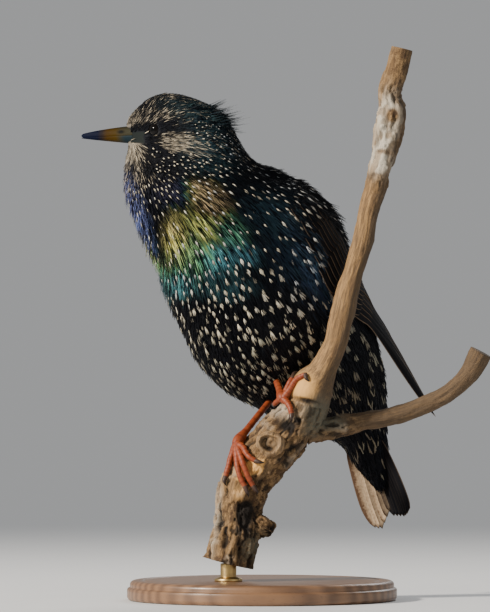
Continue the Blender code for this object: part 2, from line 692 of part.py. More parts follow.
def build_tail(finish):
    """The tail's overlapping feathers between the upper and the under tail coverts."""
    way = unit(TAIL_WAY)
    left = unit(TAIL_LEFT - way * (TAIL_LEFT @ way))
    normal = unit(np.cross(way, left))  # out of the tail's underside
    vent, chord, side, _ = body_frame(RING["vent"])
    root = vent + way * 3.2 - normal * 1.6
    feathers = []
    middle_place = (TAIL_FEATHERS - 1) / 2
    for count in range(TAIL_FEATHERS):
        c = (count - middle_place) / middle_place
        lean = 1.0 if c > 0 else -1.0
        length = TAIL_LENGTH - 12.0 + 4.5 * min(abs(c), 0.6) / 0.6 - 6.5 * max(abs(c) - 0.6, 0.0)
        t = np.array([0.0, 0.35, 0.7, 0.93, 1.0])[:, None]
        spread = c * (5.4 + 6.8 * t)
        middle = root + way * (length * t) + left * spread + normal * (abs(c) * TAIL_ROOF)
        across = np.repeat(unit(left + normal * 0.32 * lean)[None], len(t), axis=0)
        normals = np.repeat(unit(np.cross(across[0], way))[None], len(t), axis=0)
        widths = np.array([3.2, 4.3, 4.9, 4.6, 1.9])
        feathers.append(vane("rectrix", middle, across, normals, widths))
    pad = [circle(root + way * d + normal * 1.0, left * w, normal * 2.4, 12)
           for d, w in ((0.3, 6.2), (4.6, 7.0))]
    tail = loft("tail", pad, finish["flight"])
    combine(tail, feathers, "UNION")

    first = body_ring(RING["vent"], -0.2, 20) + way * 0.45
    angles = np.arange(20) / 20 * 2 * math.pi
    turn = math.atan2(-(side @ left), chord @ -normal)
    rings = [first]
    for drop_by, wide, deep in ((6.0, 9.6, 7.2), (14.0, 7.2, 5.6), (21.0, 4.4, 4.0), (26.0, 1.6, 2.6)):
        rings.append(
            root + way * drop_by + normal * 1.0
            - np.cos(angles - turn)[:, None] * normal * deep
            - np.sin(angles - turn)[:, None] * left * wide
        )
    for name, way_out in (("undertail_coverts", 1.0), ("uppertail_coverts", -1.0)):
        coverts = loft(name, rings, finish["plumage"])
        edge = []
        near = (0.8 + GAP) if way_out > 0 else -(0.9 + GAP)
        for step in np.linspace(-6.0, 45.0, 9):
            half = 5.4 + 6.8 * step / (TAIL_LENGTH - 12.0)
            line = [(x * half, near + abs(x) * TAIL_ROOF) for x in (-2.5, 0.0, 2.5)]
            line += [(2.5 * half, -30.0 * way_out), (-2.5 * half, -30.0 * way_out)]
            edge.append(np.array([root + way * step + left * x + normal * n for x, n in line]))
        combine(coverts, [loft("slab", edge)], "DIFFERENCE")
        shell = [circle(root + way * d + normal * 1.0, left * (w + GAP), normal * (2.4 + GAP), 12)
                 for d, w in ((0.3 - GAP, 6.2), (4.6 + GAP, 7.0))]
        combine(coverts, [loft("pad room", shell)], "DIFFERENCE")


# Toes: (share of the branch, degrees round it) from the foot's middle to the claw's root, then
# the claw's tip. The fourth of each foot is the hind toe.
RIGHT_FOOT = (0.195, 70.0)
RIGHT_TOES = (
    ((0.175, 66.0), (0.157, 54.0), (0.145, 50.0), (0.133, 42.0)),
    ((0.176, 44.0), (0.160, 24.0), (0.144, 0.0), (0.127, -16.0)),
    ((0.181, 34.0), (0.167, 10.0), (0.153, -14.0), (0.140, -34.0)),
    ((0.198, 50.0), (0.193, 28.0), (0.194, 10.0), (0.201, -6.0)),
)
LEFT_FOOT = (0.330, 64.0)
LEFT_TOES = (
    ((0.350, 60.0), (0.368, 54.0), (0.382, 40.0), (0.376, 16.0)),
    ((0.322, 46.0), (0.314, 32.0), (0.304, 20.0), (0.292, 8.0)),
    ((0.314, 78.0), (0.300, 86.0), (0.288, 98.0), (0.282, 112.0)),
    ((0.344, 77.0), (0.354, 82.0), (0.362, 88.0), (0.372, 120.0)),
)
TOE_RADIUS = 1.35
RIGHT_HEEL = np.array([5.5, 5.0, 82.5])
LEFT_HEEL = np.array([4.0, 0.0, 93.0])


def toe_rows(foot, toe):
    """A toe's places and radii over the bark, from the foot's middle to the claw's root."""
    rows = [(*on_branch(*foot, 2.2), 1.7)]
    for count, (share, degrees) in enumerate(toe[:3]):
        rows.append((*on_branch(share, degrees, 1.62 - 0.1 * count), TOE_RADIUS - 0.16 * count))
    return rows


def build_legs(finish):
    """Tarsi with their toes, gripping the branch, and the claws."""
    flesh, horn = finish["leg"], finish["claw"]
    hint = np.array([0.3, 1.0, 0.2])
    sets = (("right", RIGHT_FOOT, RIGHT_TOES, RIGHT_HEEL), ("left", LEFT_FOOT, LEFT_TOES, LEFT_HEEL))
    for side, foot, toes, heel in sets:
        pad = on_branch(*foot, 2.6)
        rows = [(*heel, 2.0), (*(heel * 0.55 + pad * 0.45), 1.45), (*pad, 1.75)]
        leg = tube("leg_" + side, rows, 8, 7, flesh, side_hint=hint)
        pieces = [tube("toe", toe_rows(foot, toe), 6, 7, side_hint=hint) for toe in toes]
        combine(leg, pieces, "UNION")
        core = body_length("core", RING["chin"], RING["vent"], None, 40, GAP)
        combine(leg, [core], "DIFFERENCE")
        for number, toe in enumerate(toes, 1):
            end = toe_rows(foot, toe)[-1]
            start = np.array(end[:3])
            tip = on_branch(*toe[3], 0.45)
            arch = on_branch((toe[2][0] + toe[3][0]) / 2, (toe[2][1] + toe[3][1]) / 2, 1.9)
            way = unit(arch - start)
            claw = [(*(start + way * (GAP + 0.7)), 0.95), (*arch, 0.75), (*tip, 0.3)]
            tube("claw_%s_%d" % (side, number), claw, 6, 5, horn, side_hint=hint)


def build_perch(finish):
    """The cut branch: a stem with a knob, a tall limb and a side limb."""
    bark = finish["bark"]
    stem = loft("perch_stem", branch_rings(0.0, FORK_SHARE, 19, 12), bark)
    knob_rows = [(4.6, -14.0, 62.6, 5.2), (3.8, -19.0, 62.8, 5.0), (3.2, -23.2, 63.0, 5.1),
                 (3.0, -24.6, 63.2, 4.2)]
    stub_rows = [(-4.0, -12.0, 32.0, 5.0), (0.5, -12.5, 29.6, 4.4), (4.0, -13.0, 27.6, 3.0)]
    extra = [tube("knob", knob_rows, 10, 6), tube("stub", stub_rows, 10, 6)]
    combine(stem, extra, "UNION")
    loft("perch_upper_limb", branch_rings(FORK_SHARE + 0.0014, 1.0, 28, 10), bark)
    limb = tube("perch_right_limb", SIDE_LIMB, 10, 16, bark, side_hint=np.array([0.0, 1.0, 0.0]))
    block = loft("block", branch_rings(0.0, FORK_SHARE, 19, 12, GAP))
    combine(limb, [block], "DIFFERENCE")


def build_stand(finish):
    """A flat turned base and one short rod up to the branch's sawn foot."""
    profile = [(BASE_RADIUS - 1.5, 0.0), (BASE_RADIUS, 1.2), (BASE_RADIUS, 5.6),
               (BASE_RADIUS - 1.0, 7.2), (BASE_RADIUS - 3.0, BASE_HEIGHT)]
    rings = [circle((0, 0, z), (r, 0, 0), (0, r, 0), 64) for r, z in profile]
    loft("stand_base", rings, finish["wood"])
    foot = [(-13.4, -12.0, BASE_HEIGHT + GAP, ROD_RADIUS),
            (-13.4, -12.0, STEM_FOOT_Z - 3.0, ROD_RADIUS),
            (-13.4, -12.0, STEM_FOOT_Z - GAP, ROD_RADIUS)]
    tube("stand_rod", foot, 20, 3, finish["rod"], side_hint=np.array([0.0, 1.0, 0.0]))


def main():
    """Builds every part."""
    drop(bpy.data.objects)
    finish = build_materials()
    build_head(finish)
    build_body(finish)
    build_wing("left", 1.0, finish)
    build_wing("right", -1.0, finish)
    build_tail(finish)
    build_legs(finish)
    build_perch(finish)
    build_stand(finish)


main()
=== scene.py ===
"""A common starling on a cut branch and a plain stand, dressed over its fixed frame.

Sizes are in millimetres and become metres where a mesh is written. X runs to the right, Z up,
and the breast faces -Y. Marks on the plumage are placed by how far across and down the picture
frame of 490 by 612 they are seen; 1 step there is 0.4 mm on the bird.
"""

import logging
import math
from dataclasses import dataclass, field, replace
from enum import Enum
from functools import cache
from typing import Any, Optional, Sequence, Union

import bpy
import numpy as np
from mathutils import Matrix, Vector


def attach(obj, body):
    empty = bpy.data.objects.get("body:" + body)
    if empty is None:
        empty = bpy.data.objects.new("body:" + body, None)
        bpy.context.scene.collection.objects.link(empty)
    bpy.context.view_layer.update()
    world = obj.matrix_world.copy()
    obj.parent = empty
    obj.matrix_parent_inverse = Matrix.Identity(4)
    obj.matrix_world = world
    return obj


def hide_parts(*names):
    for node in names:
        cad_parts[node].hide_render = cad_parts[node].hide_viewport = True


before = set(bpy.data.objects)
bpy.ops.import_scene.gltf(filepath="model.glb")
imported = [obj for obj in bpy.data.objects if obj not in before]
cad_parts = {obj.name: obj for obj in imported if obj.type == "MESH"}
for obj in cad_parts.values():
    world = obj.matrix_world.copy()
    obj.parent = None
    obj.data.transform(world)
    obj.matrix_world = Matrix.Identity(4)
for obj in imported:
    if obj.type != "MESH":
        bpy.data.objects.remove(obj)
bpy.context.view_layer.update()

log = logging.getLogger("starling")
Array = np.ndarray
Numbers = dict[str, Array]
Material = bpy.types.Material

# --- sizes shared with the frame, in millimetres ---
STEP = 0.4  # one step of the picture frame on the bird
ACROSS_0, DOWN_0 = 262, 600  # where X and Z are 0 in the picture frame
BASE_RADIUS, BASE_HEIGHT, ROD_RADIUS, STEM_FOOT_Z = 54, 8, 3.2, 15.2
HEAD_TURN, BODY_YAW, BODY_PITCH = math.radians(22), math.radians(40), math.radians(54)
DORSAL_TURN = math.radians(34.2)
EYE_RADIUS, EYE_SIDE, IRIS_RADIUS = 3.1, 6.9, 2.35
EYE_LEVEL = np.array([-39.2, -13.0, 187.6])
BILL_LENGTH, BILL_ROOT = 35.6, 11.8
TAIL_LENGTH, TAIL_ROOF = 35.5, 2.6

FORWARD = np.array([-math.cos(BODY_PITCH) * math.cos(BODY_YAW),
                    -math.cos(BODY_PITCH) * math.sin(BODY_YAW), math.sin(BODY_PITCH)])
LEFT = np.array([math.sin(BODY_YAW), -math.cos(BODY_YAW), 0.0])
DORSAL = np.cross(FORWARD, LEFT)
BILL_WAY = np.array([-math.cos(HEAD_TURN), math.sin(HEAD_TURN), 0.0])
HEAD_LEFT = np.array([-math.sin(HEAD_TURN), -math.cos(HEAD_TURN), 0.0])
UP = np.array([0.0, 0.0, 1.0])
VIEWER = np.array([0.0, -1.0, 0.0])
HALVES = np.array([0.0, 0.5, 1.0])

# Rings of the trunk: throat-side X and Z, back-side X and Z, middle Y, half depth, egg, turn.
RINGS = (
    (-38.9, 202.3, -34.6, 202.3, -14.2, 2.4, 0.1, 1), (-42.8, 201.2, -30.8, 201.2, -14.6, 6.4, 0.2, 1),
    (-45.9, 199.6, -26.2, 199.6, -15, 8.4, 0.3, 1), (-48.9, 197.2, -21, 197.2, -15.2, 9.6, 0.4, 1),
    (-51.7, 194.4, -17, 194.4, -15.4, 10.3, 0.46, 1), (-53.9, 191.2, -14.6, 191.2, -15.5, 10.8, 0.5, 1),
    (-54.8, 187.6, -12.4, 187.6, -15.6, 11.3, 0.5, 1), (-54.5, 184, -10.4, 184, -15.8, 11.9, 0.46, 1),
    (-53.6, 180.2, -8.4, 180.2, -16.3, 13, 0.4, 1), (-54.4, 173.6, -6.4, 177.4, -16, 15.2, 0.34, 0.92),
    (-54.6, 167.2, -4.8, 175.4, -15, 18, 0.28, 0.82), (-53.7, 161.6, -2, 173.4, -13.5, 20.6, 0.22, 0.68),
    (-51.4, 156, 1.6, 171.6, -11.5, 23.4, 0.16, 0.52), (-48.2, 148.4, 6, 170.4, -9, 26.4, 0.1, 0.34),
    (-44.8, 141.2, 11.2, 167.8, -6.3, 29.4, 0.04, 0.16), (-40.8, 132, 17.2, 164, -3.5, 31.8, 0, 0),
    (-36.8, 120, 25.2, 153.6, 1.3, 34, 0, 0), (-31.6, 107.6, 30.8, 142, 6.1, 34.4, 0, 0),
    (-25.2, 94.8, 36, 128.4, 11.5, 32.4, 0, 0), (-15.2, 84.8, 42, 116.4, 16.5, 27.6, 0, 0),
    (-2.8, 78, 46, 103.2, 21.3, 22.4, 0, 0), (11.2, 70.4, 48.8, 90.8, 26.1, 16.8, 0, 0),
    (26.8, 64.8, 50, 78.4, 30.6, 10.8, 0, 0),
)
VENT = 22  # the body's last ring
COVERT_DROPS = ((6, 9.6, 7.2), (14, 7.2, 5.6), (21, 4.4, 4), (26, 1.6, 2.6))
# The folded wing on the trunk: rings, and degrees from the back's middle to its lower and upper edge.
WING_RINGS = np.array([14.2, 15.2, 16.3, 17.4, 18.35, 19.05])
WING_LOW, WING_HIGH = np.array([72, 84, 88, 86, 74, 62.0]), np.array([40, 19, 11, 8, 7, 6.0])

# The branch, from its sawn foot up the stem and the tall limb: place and radius.
BRANCH = (
    (-13.4, -12, STEM_FOOT_Z, 9.8), (-12.4, -12, 19.2, 9.5), (-9.9, -12, 28.8, 9.4), (-9.2, -12, 37.6, 8.9),
    (-7.2, -12, 45.2, 9.4), (-2.4, -12.4, 53.2, 9.8), (4, -13, 61.2, 10.2), (11.2, -13.8, 68.8, 9.6),
    (17, -15, 76, 8.8), (20, -16.6, 85.2, 7.2), (24, -18.6, 92, 5.6), (28, -20.6, 100, 4.7),
    (31.4, -22.4, 112.8, 4.6), (34, -21.8, 124, 4.3), (37.2, -20.6, 134, 4), (40, -19.2, 143.2, 4),
    (42, -18, 154, 4), (44.4, -17, 162.8, 4.4), (46.4, -16.5, 171.2, 4.8), (48.8, -16, 179.2, 5.2),
    (50.4, -16, 188, 5.8), (51.6, -16, 195.2, 6), (50.8, -15.5, 200.8, 5), (53.2, -15, 210, 4.4),
    (55.6, -15, 220, 4),
)
FORK_SHARE = 0.345
SIDE_LIMB = (
    (18, -14, 68, 4.6), (25, -13, 68.4, 4.4), (32, -11, 69.4, 4.1), (39.2, -9, 71.4, 3.6),
    (50, -7, 73.2, 3.8), (63.2, -6, 77.4, 3.6), (75.2, -7, 83.6, 3.6), (83.2, -8, 91.6, 4),
    (87.2, -9, 99.2, 4.6),
)


# --- arithmetic ---
def unit(vectors: Any) -> Array:
    """Vectors at length one, along the last axis."""
    vectors = np.asarray(vectors, float)
    return vectors / np.maximum(np.linalg.norm(vectors, axis=-1, keepdims=True), 1e-12)


def ease(low: float, high: float, value: Any) -> Any:
    """A soft step from 0 at low to 1 at high: three times t squared less twice t cubed."""
    t = np.clip((np.asarray(value, float) - low) / (high - low), 0.0, 1.0)
    return t * t * (3 - 2 * t)


def hump(middle: float, width: float, value: Any) -> Any:
    """A bell of height 1 over middle: e to the minus square of the distance in widths."""
    return np.exp(-(((np.asarray(value, float) - middle) / width) ** 2))


def circle(count: int) -> Array:
    """Even turns round a circle, in radians: two pi times each point's share."""
    return np.arange(count) / count * 2 * math.pi


def spokes(turn: Array, first: Array, second: Array) -> Array:
    """Ways all round each place: cos turn times its first way plus sin turn times its second."""
    return np.cos(turn)[:, None] * first[:, None] + np.sin(turn)[:, None] * second[:, None]


def reaches(places: Array) -> Array:
    """How far along a path each of its places is: the running sum of its steps."""
    return np.concatenate(([0], np.cumsum(np.linalg.norm(np.diff(places, axis=0), axis=1))))


def read_curve(marks: Any, rows: Any, at: Any) -> Array:
    """Rows read smoothly: between marks, a cubic with the rows' own values and slopes.

    Args:
        marks: where each row stands.
        rows: the rows.
        at: where to read.

    Returns:
        One row for each place.
    """
    marks, rows, at = np.asarray(marks, float), np.asarray(rows, float), np.asarray(at, float)
    slopes = np.gradient(rows, marks, axis=0)
    low = np.clip(np.searchsorted(marks, at, side="right") - 1, 0, len(marks) - 2)
    span = (marks[low + 1] - marks[low])[:, None]
    t = (at - marks[low])[:, None] / span
    return (rows[low] * (2 * t**3 - 3 * t**2 + 1) + slopes[low] * span * (t**3 - 2 * t**2 + t)
            + rows[low + 1] * (3 * t**2 - 2 * t**3) + slopes[low + 1] * span * (t**3 - t**2))


def along(rows: Any, count: int) -> Array:
    """A smooth curve through rows that start with a place, read in even steps of its length."""
    rows = np.asarray(rows, float)
    marks = reaches(rows[:, :3])
    return read_curve(marks, rows, np.linspace(0, marks[-1], count))


def grain(places: Array, size: Any, seed: int) -> Array:
    """Soft noise from 0 to 1: numbers on a lattice, eased between the eight corners round a place.

    Args:
        places: points.
        size: the lattice's pitch.
        seed: which lattice.

    Returns:
        One number for each place.
    """
    q = np.asarray(places, float) / np.asarray(size, float)
    base = np.floor(q).astype(np.int64)
    f = q - base
    f = f * f * (3 - 2 * f)
    total = np.zeros(q.shape[:-1])
    for corner in range(8):
        bits = np.array([corner & 1, corner >> 1 & 1, corner >> 2 & 1])
        c = base + bits
        h = c[..., 0] * 73856093 ^ c[..., 1] * 19349663 ^ c[..., 2] * 83492791 ^ (seed + 1) * 2654435761
        h = (h ^ (h >> 13)) * 1274126177
        value = ((h ^ (h >> 16)) & 0xFFFFF) / 0xFFFFF
        total += value * np.prod(np.where(bits == 1, f, 1 - f), axis=-1)
    return total


def rough(places: Array, size: Any, seed: int, layers: int = 3) -> Array:
    """Layers of soft noise, each half as large and half as strong as the one before."""
    size = np.asarray(size, float)
    parts = [grain(places, size / 2**k, seed + 7 * k) / 2**k for k in range(layers)]
    return sum(parts) / sum(1 / 2**k for k in range(layers))


def seen(places: Array) -> tuple[Array, Array]:
    """How far across and down the picture frame places are, straight from the front."""
    return ACROSS_0 + places[..., 0] / STEP, DOWN_0 - places[..., 2] / STEP


# --- meshes ---
def link(name: str, data: Any) -> bpy.types.Object:
    """A new object of the scene with a mesh, a lamp or a camera."""
    made = bpy.data.objects.new(name, data)
    bpy.context.scene.collection.objects.link(made)
    return made


@dataclass
class Shell:
    """Points, triangles and numbers on the points, which become one mesh object."""

    points: Array
    faces: Array
    numbers: Numbers = field(default_factory=dict)
    maps: Numbers = field(default_factory=dict)

    @staticmethod
    def join(shells: Sequence["Shell"]) -> "Shell":
        """Several shells that carry the same numbers and maps, as one."""
        starts = np.cumsum([0] + [len(s.points) for s in shells[:-1]])
        return Shell(
            np.concatenate([s.points for s in shells]),
            np.concatenate([s.faces + start for s, start in zip(shells, starts)]),
            {k: np.concatenate([s.numbers[k] for s in shells]) for k in shells[0].numbers},
            {k: np.concatenate([s.maps[k] for s in shells]) for k in shells[0].maps})

    def outward(self) -> "Shell":
        """The same shell, its faces outward: the sum of the triangles' box products is positive."""
        a, b, c = (self.points[self.faces[:, k]] for k in range(3))
        if np.sum(a * np.cross(b, c)) < 0:
            self.faces = self.faces[:, ::-1]
        return self

    def build(self, name: str, finish: Material, slot: str, *nodes: str,
              sharp: Optional[float] = None) -> None:
        """Writes the mesh object, lets it ride on the model and stand for the frame's own pieces.

        Args:
            name: the piece's name.
            finish: its material.
            slot: not used.
            nodes: the frame's pieces that it replaces.
            sharp: degrees past which edges stay crisp.
        """
        mesh = bpy.data.meshes.new(name)
        count = len(self.faces)
        mesh.vertices.add(len(self.points))
        mesh.vertices.foreach_set("co", (self.points * 0.001).astype(np.float32).ravel())
        mesh.loops.add(count * 3)
        mesh.loops.foreach_set("vertex_index", self.faces.astype(np.int32).ravel())
        mesh.polygons.add(count)
        mesh.polygons.foreach_set("loop_start", np.arange(count, dtype=np.int32) * 3)
        mesh.polygons.foreach_set("use_smooth", np.full(count, True))
        mesh.update(calc_edges=True)
        for key, values in self.numbers.items():
            kind, part = ("FLOAT", "value") if values.ndim == 1 else ("FLOAT_VECTOR", "vector")
            mesh.attributes.new(key, kind, "POINT").data.foreach_set(part, values.astype(np.float32).ravel())
        for key, values in self.maps.items():
            corners = values[self.faces.ravel()].astype(np.float32).ravel()
            mesh.uv_layers.new(name=key).data.foreach_set("uv", corners)
        if sharp is not None:
            mesh.set_sharp_from_angle(angle=math.radians(sharp))
        piece = link(name, mesh)
        mesh.materials.append(finish)
        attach(piece, "root")
        if nodes:
            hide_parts(*nodes)
        log.info("%s: %d triangles", name, count)


def net(rows: int, columns: int, closed: bool) -> Array:
    """Triangles of a grid of points, row by row, with its columns joined round if closed."""
    i, j = np.meshgrid(np.arange(rows - 1), np.arange(columns if closed else columns - 1), indexing="ij")
    a, b = i * columns + j, i * columns + (j + 1) % columns
    c, d = b + columns, a + columns
    return np.stack((np.stack((a, b, c), -1), np.stack((a, c, d), -1)), 2).reshape(-1, 3)


def capped(grid: Array, numbers: Optional[Numbers] = None,
           maps: Optional[Numbers] = None) -> Shell:
    """A closed shell from rings of points, with a fan of faces over each end.

    Args:
        grid: rings by points by three.
        numbers: numbers on the grid's points.
        maps: pairs of numbers on the grid's points.

    Returns:
        The shell, faces outward.
    """
    rows, columns = grid.shape[:2]
    first, turn, top = rows * columns, np.arange(columns), (rows - 1) * columns
    after = (turn + 1) % columns
    faces = np.concatenate((net(rows, columns, True),
                            np.stack((np.full(columns, first), after, turn), -1),
                            np.stack((np.full(columns, first + 1), top + turn, top + after), -1)))

    def with_ends(values: Array) -> Array:
        """The grid's values with the two end points' own, the means of the end rings."""
        flat = values.reshape(rows * columns, *values.shape[2:])
        return np.concatenate((flat, values[0].mean(0)[None], values[-1].mean(0)[None]))

    return Shell(with_ends(grid), faces, {k: with_ends(v) for k, v in (numbers or {}).items()},
                 {k: with_ends(v) for k, v in (maps or {}).items()}).outward()


def frames_along(places: Array, hint: Array) -> tuple[Array, Array]:
    """The side at each place of a path, square to it and to a hint, and the upper way square to both."""
    ways = unit(np.gradient(places, axis=0))
    side = unit(np.cross(ways, hint))
    return side, np.cross(side, ways)


# --- shader arithmetic ---
Number = Union["Value", float, int]


def operator(name: str, flipped: bool = False) -> Any:
    """A Python operator that makes one Math node, its two values swapped if flipped."""
    return lambda self, other: self.painter.node(
        "Math", {"operation": name}, {0: other, 1: self} if flipped else {0: self, 1: other})


@dataclass
class Value:
    """A socket's number that takes part in Python sums."""

    painter: "Painter"
    socket: Any

    __add__ = __radd__ = operator("ADD")
    __sub__, __rsub__ = operator("SUBTRACT"), operator("SUBTRACT", True)
    __mul__ = __rmul__ = operator("MULTIPLY")

    def step(self, low: float, high: float) -> "Value":
        """A soft step from 0 at low to 1 at high."""
        return self.painter.node("MapRange", {"interpolation_type": "SMOOTHSTEP"},
                                 {"Value": self, "From Min": low, "From Max": high})

    def limit(self) -> "Value":
        """The value held between 0 and 1."""
        return self.painter.node("Clamp", {}, {"Value": self})


class Painter:
    """Makes one node material around its Principled shader."""

    def __init__(self, name: str) -> None:
        """Starts the material of that name."""
        self.material = bpy.data.materials.new(name)
        self.material.use_nodes = True
        self.tree = self.material.node_tree
        self.shader = self.tree.nodes["Principled BSDF"]

    def plug(self, socket: Any, value: Any) -> None:
        """Links a Value to a socket, or sets a number, a tuple or another socket there."""
        if isinstance(value, Value):
            self.tree.links.new(value.socket, socket)
        else:
            socket.default_value = value

    def node(self, kind: str, settings: dict[str, Any], inputs: dict[Any, Any], out: Any = 0) -> Value:
        """Makes a node: its settings first, then its sockets' values or links.

        Args:
            kind: its type, without the ShaderNode before it.
            settings: its properties; stops is a ramp's places and colours.
            inputs: its sockets, each with a number, a tuple or a Value.
            out: the socket to hand back.

        Returns:
            The output as a Value.
        """
        made = self.tree.nodes.new("ShaderNode" + kind)
        for key, value in settings.items():
            if key == "stops":
                elements = made.color_ramp.elements
                while len(elements) < len(value):
                    elements.new(0.5)
                for element, (place, colour) in zip(elements, value):
                    element.position, element.color = place, (*colour, 1)
            else:
                setattr(made, key, value)
        for key, value in inputs.items():
            self.plug(made.inputs[key], value)
        return Value(self, made.outputs[out])

    def place(self) -> Value:
        """Object coordinates, in metres."""
        return self.node("TexCoord", {}, {}, "Object")

    def number(self, name: str, out: str = "Fac") -> Value:
        """A number, or out of it a Vector, that the mesh carries on its points."""
        return self.node("Attribute", {"attribute_name": name}, {}, out)

    def noise(self, where: Value, scale: float, detail: float = 3.0, roughness: float = 0.55) -> Value:
        """Noise read at a vector."""
        return self.node("TexNoise", {}, {"Vector": where, "Scale": scale, "Detail": detail,
                                          "Roughness": roughness})

    def stretch(self, where: Value, by: tuple[float, float, float]) -> Value:
        """A vector times another, part by part."""
        return self.node("VectorMath", {"operation": "MULTIPLY"}, {0: where, 1: by})

    def ramp(self, value: Value, stops: Sequence[tuple[float, tuple]]) -> Value:
        """A colour read from stops by a value."""
        return self.node("ValToRGB", {"stops": stops}, {"Fac": value})

    def blend(self, factor: Number, first: Any, second: Any) -> Value:
        """Two colours mixed by a factor."""
        first, second = (c if isinstance(c, Value) else (*c, 1) for c in (first, second))
        return self.node("Mix", {"data_type": "RGBA"}, {0: factor, 6: first, 7: second}, 2)

    def dress(self, **sockets: Any) -> None:
        """Sets or links the shader's own sockets, named with _ for spaces."""
        for key, value in sockets.items():
            self.plug(self.shader.inputs[key.replace("_", " ")], value)

    def relief(self, height: Value, distance: float, strength: float = 1.0) -> None:
        """Feeds a height through a Bump node to the shader's normal."""
        self.dress(Normal=self.node("Bump", {}, {"Height": height, "Distance": distance,
                                                 "Strength": strength}, "Normal"))


# --- finishes ---
@dataclass(frozen=True)
class DarkPlumage:
    """Black-brown feathers, their iridescent hues painted in as highlight streaks, paler where the coat's own
    number says so.
    """

    name: str = "plumage"
    # dark and brown lean blue: partly the plumage's own blue-black, partly painted sky-blue fill light in its
    # shade.
    dark: tuple = (0.0022, 0.0036, 0.0072)
    brown: tuple = (0.0125, 0.0125, 0.0155)
    cream: tuple = (0.86, 0.75, 0.56)
    dull_cream: tuple = (0.45, 0.38, 0.29)
    horn: tuple = (0.011, 0.0145, 0.0135)
    gloss: tuple = ((0, (0.46, 0.42, 0.86)), (0.22, (0.2, 0.36, 0.86)), (0.42, (0.27, 0.82, 0.96)),
                    (0.62, (0.36, 0.98, 0.52)), (0.82, (1, 1, 0.28)), (1, (1, 0.74, 0.42)))

    @cache
    def make(self) -> Material:
        """The material: painted gloss highlights by its hue number over black-brown, then cream by pale."""
        p = Painter(self.name)
        own, sheen, hue, pale = (p.number(k) for k in ("own", "sheen", "hue", "pale"))
        streak = p.noise(p.place(), 2600, 2)
        ground = p.blend((own * 0.7 + streak * 0.5 - 0.25).limit(), self.dark, self.brown)
        # Painted highlight: shine lays the plumage's own iridescent hues into the base colour as bright
        # streaks where its highlights fall.
        shine = (sheen * (0.04 + 0.96 * (own * 1.6 + streak * 0.3).step(0.55, 0.93))).limit()
        colour = p.blend(shine, ground, p.ramp((hue + (own - 0.5) * 0.16).limit(), self.gloss))
        light = p.blend(own, self.cream, self.dull_cream)
        colour = p.blend(p.number("bare"), p.blend(pale, colour, light), self.horn)
        p.dress(Base_Color=colour, Roughness=0.55 - 0.2 * shine,
                Metallic=shine * 0.1 * (1 - pale), Specular_IOR_Level=0.12)
        p.relief(streak, 0.0002, 0.3)
        return p.material


@dataclass(frozen=True)
class PaleTips:
    """Cream to buff feather tips."""

    stops: tuple = ((0, (0.32, 0.37, 0.42)), (0.3, (0.47, 0.46, 0.42)), (0.55, (0.61, 0.54, 0.4)),
                    (0.8, (0.31, 0.295, 0.22)), (1, (0.2, 0.16, 0.1)))
    dusk: tuple = (0.15, 0.135, 0.11)

    @cache
    def make(self) -> Material:
        """The material: blue-grey through cream to buff by warm, slightly uneven from tip to tip."""
        p = Painter("pale_tips")
        own, warm = p.number("own"), p.number("warm")
        colour = p.ramp((warm + (own - 0.5) * 0.22).limit(), self.stops)
        p.dress(Base_Color=p.blend((own * 1.3 - 0.4).limit() * 0.65, colour, self.dusk),
                Roughness=0.6, Specular_IOR_Level=0.3)
        return p.material


@dataclass(frozen=True)
class FlightFeather:
    """Brown-black vanes with a buff fringe, a shaft and fine barbs, and painted sunlight where lit says."""

    # dark leans blue: partly the feathers' own blue-black, partly painted sky-blue fill light in their shade.
    dark: tuple = (0.0026, 0.0034, 0.0058)
    brown: tuple = (0.0095, 0.0085, 0.0095)
    fringe: tuple = (0.21, 0.15, 0.1)
    # Painted sunlight: lit, lit_dark, lit_fringe and lit_shaft are the vane's colours as lit by the sun.
    lit: tuple = (0.62, 0.46, 0.3)
    lit_dark: tuple = (0.1, 0.055, 0.03)
    lit_fringe: tuple = (0.07, 0.035, 0.02)
    shaft: tuple = (0.03, 0.023, 0.018)
    lit_shaft: tuple = (0.4, 0.28, 0.17)

    @cache
    def make(self) -> Material:
        """The material, read from side, which is -1 to 1 across a vane, and run along it."""
        p = Painter("flight_feathers")
        side, run, own, edge, lit = (p.number(k) for k in ("side", "run", "own", "edge", "lit"))
        reach = p.node("Math", {"operation": "ABSOLUTE"}, {0: side})
        barbs = p.node("Math", {"operation": "SINE"}, {0: reach * 26 - run * 210})
        mottle = p.noise(p.place(), 900)
        ground = p.blend((own * 0.6 + mottle * 0.6 - 0.1).limit(), self.dark, self.brown)
        # Painted light: lit feathers take their sunlit colours, lighter toward one side of the vane.
        ground = p.blend(lit, ground, p.blend((side * 0.9 + mottle * 1.2).limit(), self.lit_dark, self.lit))
        rim = (reach.step(0.84, 0.95) + run.step(0.975, 0.995)).limit()
        colour = p.blend((rim * edge).limit(), ground, p.blend(lit, self.fringe, self.lit_fringe))
        shaft = 1 - reach.step(0.02, 0.07)
        colour = p.blend(shaft * 0.6, colour, p.blend(lit, self.shaft, self.lit_shaft))
        p.dress(Base_Color=colour, Roughness=0.72 + mottle * 0.2, Specular_IOR_Level=0.08)
        p.relief(barbs * 0.25 + shaft * 1.2, 0.0001, 0.5)
        return p.material


